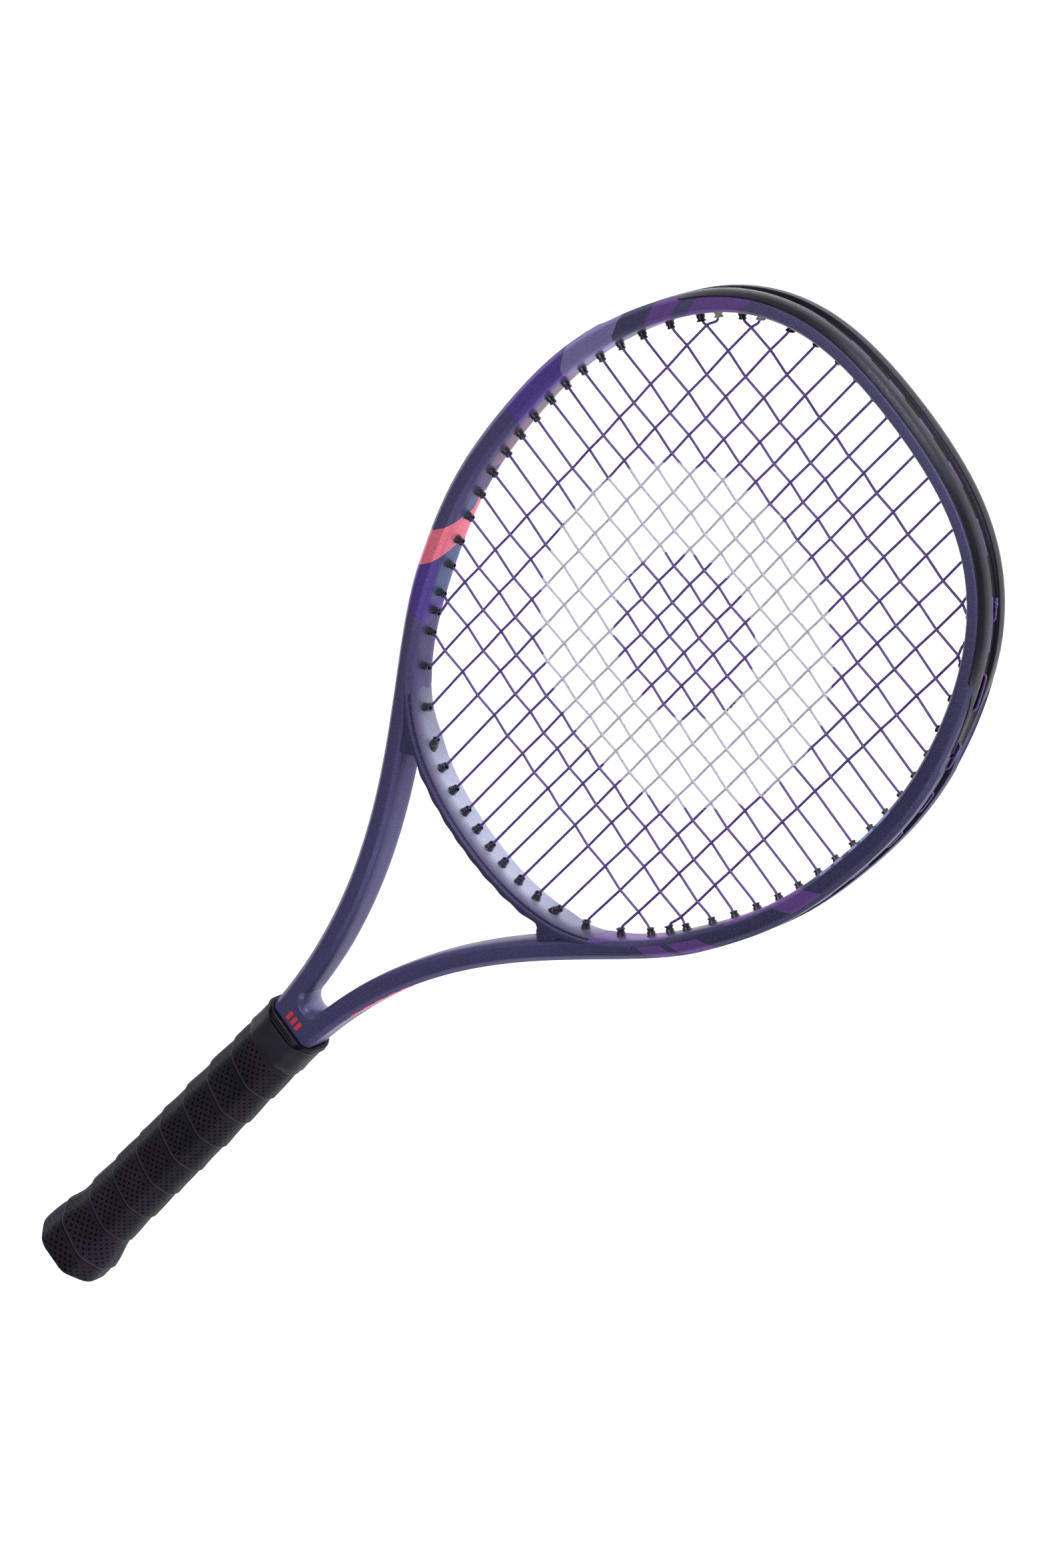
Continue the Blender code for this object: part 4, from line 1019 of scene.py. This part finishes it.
def strip_section(base):
    floor = base + 0.3
    top = floor + STRIP_THICKNESS
    return round_section([(floor, STRIP_HALF_HEIGHT), (top, STRIP_HALF_HEIGHT),
                          (top, -STRIP_HALF_HEIGHT), (floor, -STRIP_HALF_HEIGHT)], STRIP_RADII, 3)


def build_side_strips():
    section = strip_section(HOOP_HALF_WIDTH - GROOVE_DEPTH)
    end = 3.0 - SIDE_STRIP_ANGLE / JOIN_ANGLE
    places = np.linspace(SIDE_STRIP_START, end, 220).tolist()
    flared = [(hole, side) for hole in THROAT_HOLES[BRIDGE_MAINS:] for side in (False, True)]
    made = []
    for name, mirror in (("side_grommets_left", False), ("side_grommets_right", True)):
        grid = []
        for place in places:
            shifted = section.copy()
            shifted[:, 0] += half_width(place) - HOOP_HALF_WIDTH
            at = 6.0 - place if mirror else place
            grid.append(frame_ring(at, shifted))
        shells = Shells()
        shells.add(grid)
        add_barrels(shells, STRIP_HOLES, (mirror,), flared)
        item = shells.build(name, BLACK, 40.0)
        side = "right" if mirror else "left"
        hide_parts(f"side_grommet_strip_{side}")
        made.append(item)
    return made


def build_throat_strip():
    section = strip_section(BRIDGE_OUTER - BRIDGE_GROOVE_DEPTH)
    grid = []
    for step in range(61):
        angle = math.pi + math.radians(17.1) * (step / 30.0 - 1.0)
        grid.append(hoop_ring(angle, section))
    shells = Shells()
    shells.add(grid)
    add_barrels(shells, THROAT_HOLES[:BRIDGE_MAINS], (False, True))
    made = shells.build("throat_grommets", BLACK, 40.0)
    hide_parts("throat_grommet_strip")
    return made


def bumper_half_section(place):
    """Rail and channel of the bumper. Towards its ends the rails run out to a point."""
    angle = JOIN_ANGLE * (3.0 - half_place(place))
    taper = 1.0 - ramp(angle, math.radians(36.0), BUMPER_ANGLE)
    height = half_height(place)
    floor = HOOP_HALF_WIDTH - GROOVE_DEPTH + 0.3
    rail_floor = HOOP_HALF_WIDTH - BUMPER_RECESS + 0.05
    rail_top = mix(rail_floor + 0.35, HOOP_HALF_WIDTH + 0.3, taper)
    wing = ramp(taper, 0.25, 0.8)
    rail_edge = mix(GROOVE_HALF_HEIGHT + 0.9, height - 3.2, taper)
    edge_n = mix(rail_floor, HOOP_HALF_WIDTH - 2.75, wing)
    edge_z = mix(rail_edge, height + 0.02, wing)
    return [
        (floor + STRIP_THICKNESS, 2.2),
        (rail_top - 0.55, STRIP_HALF_HEIGHT + 0.05),
        (rail_top, STRIP_HALF_HEIGHT + 0.5),
        (rail_top + 0.05, mix(STRIP_HALF_HEIGHT + 0.8, rail_edge - 0.9, taper)),
        (mix(rail_top - 0.3, rail_top - 0.5, wing), mix(rail_edge - 0.2, height - 2.35, wing)),
        (mix(rail_floor + 0.2, edge_n + 0.55, wing), mix(rail_edge, edge_z, wing)),
        (edge_n, mix(rail_edge - 0.1, height - 0.05, wing)),
        (mix(rail_floor, HOOP_HALF_WIDTH - 0.8, wing), mix(rail_edge - 0.4, height - 2.7, wing)),
        (rail_floor - 0.2, GROOVE_HALF_HEIGHT),
        (floor, STRIP_HALF_HEIGHT),
    ]


BUMPER_RADII = (0.25, 0.25, 0.3, 1.4, 1.2, 0.3, 0.1, 0.1, 0.2, 0.2)


def build_bumper():
    start = 3.0 - BUMPER_ANGLE / JOIN_ANGLE
    places = np.linspace(start, 6.0 - start, 300).tolist()
    grid = []
    for place in places:
        section = round_ring(bumper_half_section(place), BUMPER_RADII, steps=3)
        grid.append(frame_ring(place, section))
    shells = Shells()
    shells.add(grid)
    pale = [(HEAD_HOLES[6], False), (HEAD_HOLES[7], False)]
    flared = [(HEAD_HOLES[5], False), (SIDE_HOLES[17], False)]
    for hole in BUMPER_HOLES:
        for mirror in (False, True):
            if (hole, mirror) not in pale:
                add_barrels(shells, [hole], (mirror,), flared)
    made = shells.build("bumper_rails", BUMPER, 40.0)
    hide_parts("bumper_guard")
    clear = Shells()
    add_barrels(clear, [hole for hole, _ in pale], (False,), pale, -0.9)
    sleeves = clear.build("bumper_clear_sleeves", CREAM, 40.0)
    return [made, sleeves]


# ---- strings

TURN_ROOM = 1.5


def lift(point, mirror, z=0.0):
    return Vector((point.x, -point.y if mirror else point.y, z))


def groove_point(hole, place, mirror, z):
    offset = BRIDGE_LOOP if hole.in_bridge else LOOP_OFFSET
    plane = hoop_offset(place, offset) if hole.in_bridge else frame_offset(place, offset)
    return lift(plane, mirror, z)


def turn_out(hole, mirror, following, lane):
    """The string's turn from its hole into the groove."""
    corner = lift(hole.exit, mirror)
    inside = lift(hole.exit - TURN_ROOM * hole.direction, mirror)
    outside = corner + (following - corner).normalized() * TURN_ROOM
    outside.z = lane
    corner.z = 0.5 * lane
    return bend(inside, corner, outside, (0.0, 0.35, 0.7, 1.0))

def loop_between(hole_a, mirror_a, hole_b, mirror_b, lane, spacing=9.0):
    if mirror_a == mirror_b:
        run = [hole_a.place + (hole_b.place - hole_a.place) * k / 40 for k in range(41)]
        track = [groove_point(hole_a, place, mirror_a, lane) for place in run]
    else:
        centre = math.pi if hole_a.in_bridge else 3.0
        run = [hole_a.place + (centre - hole_a.place) * k / 20 for k in range(21)]
        track = [groove_point(hole_a, place, mirror_a, lane) for place in run]
        back = [centre + (hole_b.place - centre) * k / 20 for k in range(1, 21)]
        track += [groove_point(hole_b, place, mirror_b, lane) for place in back]
    length = sum((b - a).length for a, b in zip(track, track[1:]))
    count = max(1, int(length / spacing))
    middle = [track[round(step * 40 / (count + 1))] for step in range(1, count + 1)]
    out = turn_out(hole_a, mirror_a, middle[0], lane)
    back = turn_out(hole_b, mirror_b, middle[-1], lane)
    return out + middle + list(reversed(back))


def knot_tail(hole, mirror, direction, lane):
    """A tie-off: a short run in the groove, then two turns round itself and a stub."""
    scale = 1.0 / 270.0
    run = [groove_point(hole, hole.place + direction * step * scale, mirror, lane)
           for step in (2.5, 4.0)]
    points = turn_out(hole, mirror, run[0], lane) + run
    heading = (run[1] - run[0]).normalized()
    aside = lift(hole.direction, mirror) * 0.65 - Vector((0.0, 0.0, 0.35 * lane))
    up = Vector((0.0, 0.0, 1.0))
    out = lift(hole.direction, mirror)
    centre = run[1] + aside * 0.7
    turns = []
    for step in range(1, 15):
        turn = 2.0 * math.pi * step / 8.0
        turns.append(centre + heading * (0.6 + 0.17 * step)
                     + 0.42 * (out * math.cos(turn) + up * math.sin(turn)))
    return points + turns + [turns[-1] + heading * 1.6]


def spread_points(points, reach=1.7):
    """Straight runs with every corner turned into a short smooth bend."""
    knots = [points[0]]
    for point in points[1:]:
        if (point - knots[-1]).length > 0.05:
            knots.append(point)
    array = np.array([knot[:] for knot in knots])
    out = [array[0]]
    for before, corner, after in zip(array, array[1:], array[2:]):
        ends = []
        for side in (before - corner, after - corner):
            length = np.linalg.norm(side)
            ends.append(corner + side / length * min(reach, 0.49 * length))
        out += bend(ends[0], corner, ends[1])
    return np.array(out + [array[-1]])

def round_tube(path, radius, sides=10):
    """Rings of a round tube along a path, turned along with it so that it never twists."""
    tangents = np.gradient(path, axis=0)
    tangents /= np.linalg.norm(tangents, axis=1)[:, None]
    side = np.cross(tangents[0], (0.0, 0.0, 1.0))
    turns = 2.0 * np.pi * np.arange(sides) / sides
    grid = []
    for point, tangent in zip(path, tangents):
        side = side - tangent * side.dot(tangent)
        side /= np.linalg.norm(side)
        rise = np.cross(tangent, side)
        grid.append(point + radius * (np.cos(turns)[:, None] * side
                                      + np.sin(turns)[:, None] * rise))
    return np.array(grid)


def over_sign(main, cross):
    """Sign of a cross's height over a main on the left half."""
    return 1.0 if (main + cross) % 2 == 0 else -1.0


def crossings_of_main(index):
    throat, head = THROAT_HOLES[index], HEAD_HOLES[index]
    return [k for k in range(CROSS_COUNT) if throat.tip.x + 3.0 < cross_x(k) < head.tip.x
            and main_y(index, cross_x(k)) < SIDE_HOLES[k].mouth.y - 1.0]


def main_run(index, mirror):
    throat, head = THROAT_HOLES[index], HEAD_HOLES[index]
    points = [lift(throat.mouth, mirror)]
    met = crossings_of_main(index)
    for k in met:
        sign = over_sign(index, k) * (-1.0 if mirror else 1.0)
        x = cross_x(k)
        points.append(lift(Vector((x, main_y(index, x))), mirror, -MAIN_WEAVE * sign))
    points.append(lift(head.mouth, mirror))
    return points


def build_main_string():
    order = [(index, False) for index in reversed(MAINS)] + [(index, True) for index in MAINS]
    first, first_mirror = order[0]
    points = list(reversed(knot_tail(THROAT_HOLES[first], first_mirror, -1.0, LANE_OFFSET)))
    upwards = True
    for (index, mirror), (following, next_mirror) in zip(order, order[1:] + [(None, None)]):
        far = HEAD_HOLES[index] if upwards else THROAT_HOLES[index]
        run = main_run(index, mirror)
        points += run if upwards else list(reversed(run))
        if following is not None:
            landing = (HEAD_HOLES if upwards else THROAT_HOLES)[following]
            points += loop_between(far, mirror, landing, next_mirror, LANE_OFFSET)
        else:
            points += knot_tail(far, mirror, -1.0, LANE_OFFSET)
        upwards = not upwards
    made = one_body("string_mains", STRING, round_tube(spread_points(points), STRING_RADIUS))
    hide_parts("main_string")
    return made


def weave_run(index, mirror):
    hole = SIDE_HOLES[index]
    x = cross_x(index)
    start = 1.0 if not mirror else -1.0
    crossings = []
    for main in MAINS:
        if index in crossings_of_main(main):
            over = CROSS_WEAVE * over_sign(main, index)
            y = main_y(main, x)
            crossings.append((y, over))
            crossings.append((-y, -over))
    points = [lift(hole.mouth, mirror)]
    for y, over in sorted(crossings, key=lambda item: -start * item[0]):
        points.append(Vector((x, y, over)))
    points.append(lift(hole.mouth, not mirror))
    return points


def build_cross_string():
    points = list(reversed(knot_tail(SIDE_HOLES[-1], True, 1.0, -LANE_OFFSET)))
    mirror = True
    for index in reversed(range(CROSS_COUNT)):
        points += weave_run(index, mirror)
        if index > 0:
            points += loop_between(SIDE_HOLES[index], not mirror, SIDE_HOLES[index - 1],
                                   not mirror, -LANE_OFFSET)
        else:
            points += knot_tail(SIDE_HOLES[0], not mirror, -1.0, -LANE_OFFSET)
        mirror = not mirror
    made = one_body("string_crosses", STRING, round_tube(spread_points(points), STRING_RADIUS))
    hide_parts("cross_string")
    return made


# ---- handle

def octagon_outline(half_y, half_z, share_y, share_z, radius, count):
    """Rounded octagon as evenly spaced points, from the middle of its left side."""
    flat_y = share_y * half_y
    flat_z = share_z * half_z
    corners = [(half_y, flat_z), (flat_y, half_z), (-flat_y, half_z), (-half_y, flat_z),
               (-half_y, -flat_z), (-flat_y, -half_z), (flat_y, -half_z), (half_y, -flat_z)]
    outline = round_section(corners, (radius,) * 8, 6)
    loop = np.vstack([[half_y, 0.0], outline, [half_y, 0.0]])
    lengths = np.concatenate([[0.0], np.cumsum(np.linalg.norm(np.diff(loop, axis=0), axis=1))])
    marks = np.linspace(0.0, lengths[-1], count + 1)[:-1]
    return np.stack([np.interp(marks, lengths, loop[:, axis]) for axis in (0, 1)], axis=1)

def octagon_rows(stations, radius, count):
    """One ring for each station: x, half width, half height[, shares of the flats]."""
    rows = []
    for x, *shape in stations:
        outline = octagon_outline(*(*shape, FLAT_SHARE_Y, FLAT_SHARE_Z)[:4], radius, count)
        rows.append(np.column_stack([np.full(count, x), outline]))
    return rows

def stations_at(stations, x):
    table = np.array([(s + (FLAT_SHARE_Y, FLAT_SHARE_Z))[:5] for s in stations], float)
    return [float(np.interp(x, table[:, 0], table[:, column])) for column in range(1, 5)]


def outline_normals(outline):
    run = np.roll(outline, -1, axis=0) - np.roll(outline, 1, axis=0)
    normal = np.stack([run[:, 1], -run[:, 0]], axis=1)
    return normal / np.linalg.norm(normal, axis=1)[:, None]


def wrap_profile(phase):
    """Height of the grip across one turn: a rounded edge, a slow fall, then a gutter."""
    edge = np.clip(phase / 0.045, 0.0, 1.0)
    rise = np.sin(0.5 * np.pi * edge)
    fall = 1.0 - np.clip((phase - 0.045) / 0.955, 0.0, 1.0) ** 0.8
    return rise * fall


def sleeve_grid(rows_outer, rows_inner):
    return np.array(list(rows_outer) + list(reversed(rows_inner)))


def build_grip():
    outer, run_rows, rise_rows = [], [], []
    count = 144
    xs = np.concatenate([np.linspace(1.8, 3.0, 6), np.arange(3.5, 191.9, 0.5), [192.0]])
    for x in xs:
        outline = octagon_outline(*stations_at(WRAP_OUTER, x), 4.2, count)
        share = np.arange(count) / count
        turns = (x - WRAP_SEAM_X) / WRAP_PITCH + share
        phase = turns % 1.0
        fade = ramp(x, 2.0, 8.0) * (1.0 - 0.75 * ramp(x, 180.0, 187.0))
        lift_out = WRAP_RISE * (wrap_profile(phase) - 0.75) * fade
        wobble = 0.12 * np.sin(5.0 * turns) * fade
        placed = outline + outline_normals(outline) * (lift_out + wobble - 0.1)[:, None]
        outer.append(np.column_stack([np.full(count, x), placed]))
        run_rows.append(share * 102.0 - 4.2 * (x - WRAP_SEAM_X) / WRAP_PITCH)
        rise_rows.append(phase * WRAP_PITCH)
    inner = octagon_rows(WRAP_INNER, 2.0, count)
    grid = sleeve_grid(outer, inner)
    blank = [np.zeros(count)] * len(inner)
    made = one_body("grip_wound", GRIP, grid, 60.0, True, wrap_run=np.array(run_rows + blank),
                    wrap_rise=np.array(rise_rows + blank))
    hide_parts("grip_wrap")
    return made


def simple_sleeve(name, outer_stations, inner_stations, material, radius, count=96):
    rows = [octagon_rows(stations, radius, count) for stations in (outer_stations, inner_stations)]
    return one_body(name, material, sleeve_grid(*rows), 60.0, True)

def build_tape():
    outer = [(186.4, 16.9, 14.9), (186.6, 17.15, 15.1), (189.5, 17.0, 14.95),
             (192.3, 16.85, 14.75), (197.5, 16.9, 14.65), (201.3, 16.95, 14.45),
             (201.9, 16.8, 14.25)]
    inner = [(186.4, 16.6, 14.6), (192.3, 16.2, 14.2), (197.2, 15.6, 13.4), (201.9, 15.3, 12.4)]
    made = simple_sleeve("tape_band", outer, inner, TAPE, 4.0)
    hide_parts("finishing_tape")
    return made


def build_collar():
    """Rubber ring with two beads, narrowing onto the two shafts."""
    outer = ((201.2, 16.3, 13.3, 0.52, 0.42), (202.2, 16.75, 14.0, 0.55, 0.45),
             (202.6, 17.1, 14.2, 0.57, 0.46), (203.2, 17.2, 14.15, 0.6, 0.48),
             (203.7, 17.0, 13.8, 0.62, 0.5), (204.0, 16.6, 13.3, 0.64, 0.52),
             (204.4, 16.75, 13.1, 0.68, 0.54), (205.0, 16.6, 12.5, 0.73, 0.58),
             (205.5, 15.9, 11.5, 0.78, 0.63))
    inner = ((201.2, 14.9, 10.6, 0.72, 0.62), (205.5, 14.8, 10.1, 0.78, 0.67))
    made = simple_sleeve("collar_rings", outer, inner, RUBBER, 3.6)
    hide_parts("rubber_collar")
    return made

CAP_COUNT = 96                  # points round the cap's and the disc's rings

def build_butt_cap():
    """Cup with a rounded rim and a shallow dish for the disc."""
    outside = ((31.0, 15.3, 13.3), (24.0, 16.3, 14.3), (13.0, 18.4, 16.4), (4.0, 18.4, 16.4),
               (1.6, 18.3, 16.3), (0.6, 17.8, 15.8), (0.1, 16.8, 14.8), (0.0, 15.6, 13.6),
               (0.0, 11.9, 10.4), (0.25, 11.5, 10.0), (1.2, 11.35, 9.85), (1.2, 6.0, 5.0))
    inside = ((4.0, 6.0, 4.0), (4.0, 14.6, 12.6), (31.0, 14.6, 12.6))
    grid = octagon_rows(inside, 3.0, CAP_COUNT) + octagon_rows(outside, 3.4, CAP_COUNT)
    made = one_body("butt_cap_cup", CAP, grid, 50.0)
    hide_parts("butt_cap")
    return made

def build_emblem():
    """Disc let into the butt cap, with plain raised rings and no lettering."""
    rings = ((0.9, 11.0, 9.5), (0.2, 11.0, 9.5), (0.0, 10.7, 9.2), (0.0, 9.6, 8.1),
             (0.35, 9.3, 7.8), (0.35, 7.0, 5.8), (0.05, 6.7, 5.5), (0.05, 5.4, 4.3),
             (0.35, 5.1, 4.0), (0.35, 2.6, 2.0), (0.1, 2.2, 1.6))
    made = one_body("butt_cap_disc", DISC, octagon_rows(rings, 3.0, CAP_COUNT), 40.0)
    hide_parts("butt_cap_emblem")
    return made

# ---- hidden CAD pieces

def dress_nodes():
    foam = foam_material("core_foam", srgb(170, 165, 145), srgb(214, 208, 190))
    pallet = foam_material("pallet_foam", srgb(150, 128, 92), srgb(190, 168, 128))
    staple = metal_material("staple_steel")
    finishes = {
        "bridge_foam_core": foam, "hairpin_plug_left": foam, "hairpin_plug_right": foam,
        "handle_spacer_foam": foam, "handle_pallet_top": pallet, "handle_pallet_bottom": pallet,
    }
    finishes.update({f"butt_cap_staple_{number}": staple for number in range(1, 5)})
    for name, finish in finishes.items():
        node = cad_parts[name]
        if not node.material_slots:
            node.data.materials.append(finish)
        for slot in node.material_slots:
            slot.material = finish


# ---- studio

FLOOR_GLOW = 1.0
HORIZON_LIGHT = 0.5
CEILING_LIGHT = 0.07
LIGHTS = (
    ("softbox_top", (1.0, 0.1, 2.2), (0.5, 0.0, 0.0), 1.5, 27.0),
    ("softbox_left", (0.5, 2.6, 0.9), (0.4, 0.0, 0.0), 1.2, 4.0),
    ("softbox_right", (0.2, -2.6, 0.7), (0.4, 0.0, 0.0), 1.2, 12.0),
    ("softbox_front", (2.9, 0.6, 0.5), (0.4, 0.0, 0.0), 1.0, 24.0),
)


def build_studio():
    floor_z = cad_box[0].z / MM - 0.3
    half = 4000.0
    mesh = bpy.data.meshes.new("floor")
    corners = [(-half, -half), (half, -half), (half, half), (-half, half)]
    mesh.from_pydata([(x * MM, y * MM, floor_z * MM) for x, y in corners], [], [(0, 1, 2, 3)])
    floor = bpy.data.objects.new("floor", mesh)
    bpy.context.scene.collection.objects.link(floor)
    nodes = Nodes("floor_white")
    nodes.paint(Base_Color=(0.86, 0.86, 0.87), Roughness=0.9, Emission_Color=(1.0, 1.0, 1.0),
                Emission_Strength=FLOOR_GLOW)
    mesh.materials.append(nodes.material)

    world = bpy.data.worlds.new("studio")
    world.use_nodes = True
    tree = world.node_tree
    background = tree.nodes["Background"]
    direction = tree.nodes.new("ShaderNodeTexCoord")
    parts = tree.nodes.new("ShaderNodeSeparateXYZ")
    height = tree.nodes.new("ShaderNodeMapRange")
    height.interpolation_type = "SMOOTHSTEP"
    height.inputs["From Min"].default_value = 0.0
    height.inputs["From Max"].default_value = 0.45
    height.inputs["To Min"].default_value = HORIZON_LIGHT
    height.inputs["To Max"].default_value = CEILING_LIGHT
    tree.links.new(direction.outputs["Generated"], parts.inputs[0])
    tree.links.new(parts.outputs["Z"], height.inputs["Value"])
    tree.links.new(height.outputs["Result"], background.inputs["Strength"])
    background.inputs["Color"].default_value = (0.95, 0.96, 1.0, 1.0)
    bpy.context.scene.world = world

    for name, place, target, size, power in LIGHTS:
        light = bpy.data.lights.new(name, "AREA")
        light.shape = "DISK"
        light.size = size
        light.energy = power
        lamp = bpy.data.objects.new(name, light)
        lamp.location = place
        aim = Vector(target) - Vector(place)
        lamp.rotation_euler = aim.to_track_quat("-Z", "Y").to_euler()
        bpy.context.scene.collection.objects.link(lamp)


CAMERA_PLACE = (2.02535, -0.60548, 2.23883)
CAMERA_RIGHT = (0.577638, -0.576606, -0.577806)
CAMERA_UP = (0.579618, 0.788143, -0.207057)
CAMERA_BACK = (0.574784, -0.215303, 0.789473)
CAMERA_LENS = 140.68


def build_camera():
    data = bpy.data.cameras.new("camera")
    data.lens = CAMERA_LENS
    data.sensor_width = 36.0
    data.clip_start = 0.05
    data.clip_end = 60.0
    camera = bpy.data.objects.new("camera", data)
    rows = zip(CAMERA_RIGHT, CAMERA_UP, CAMERA_BACK, CAMERA_PLACE)
    camera.matrix_world = Matrix([list(row) for row in rows] + [[0.0, 0.0, 0.0, 1.0]])
    bpy.context.scene.collection.objects.link(camera)
    bpy.context.scene.camera = camera
    bpy.context.scene.view_settings.view_transform = "Standard"


def main():
    pieces = [build_frame(), build_bridge(), build_wedge(), build_mark()]
    pieces += build_side_strips()
    pieces.append(build_throat_strip())
    pieces += build_bumper()
    pieces += [build_main_string(), build_cross_string()]
    pieces += [build_grip(), build_tape(), build_collar(), build_butt_cap(), build_emblem()]
    for piece in pieces:
        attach(piece, "root")
    dress_nodes()
    build_studio()
    build_camera()


main()
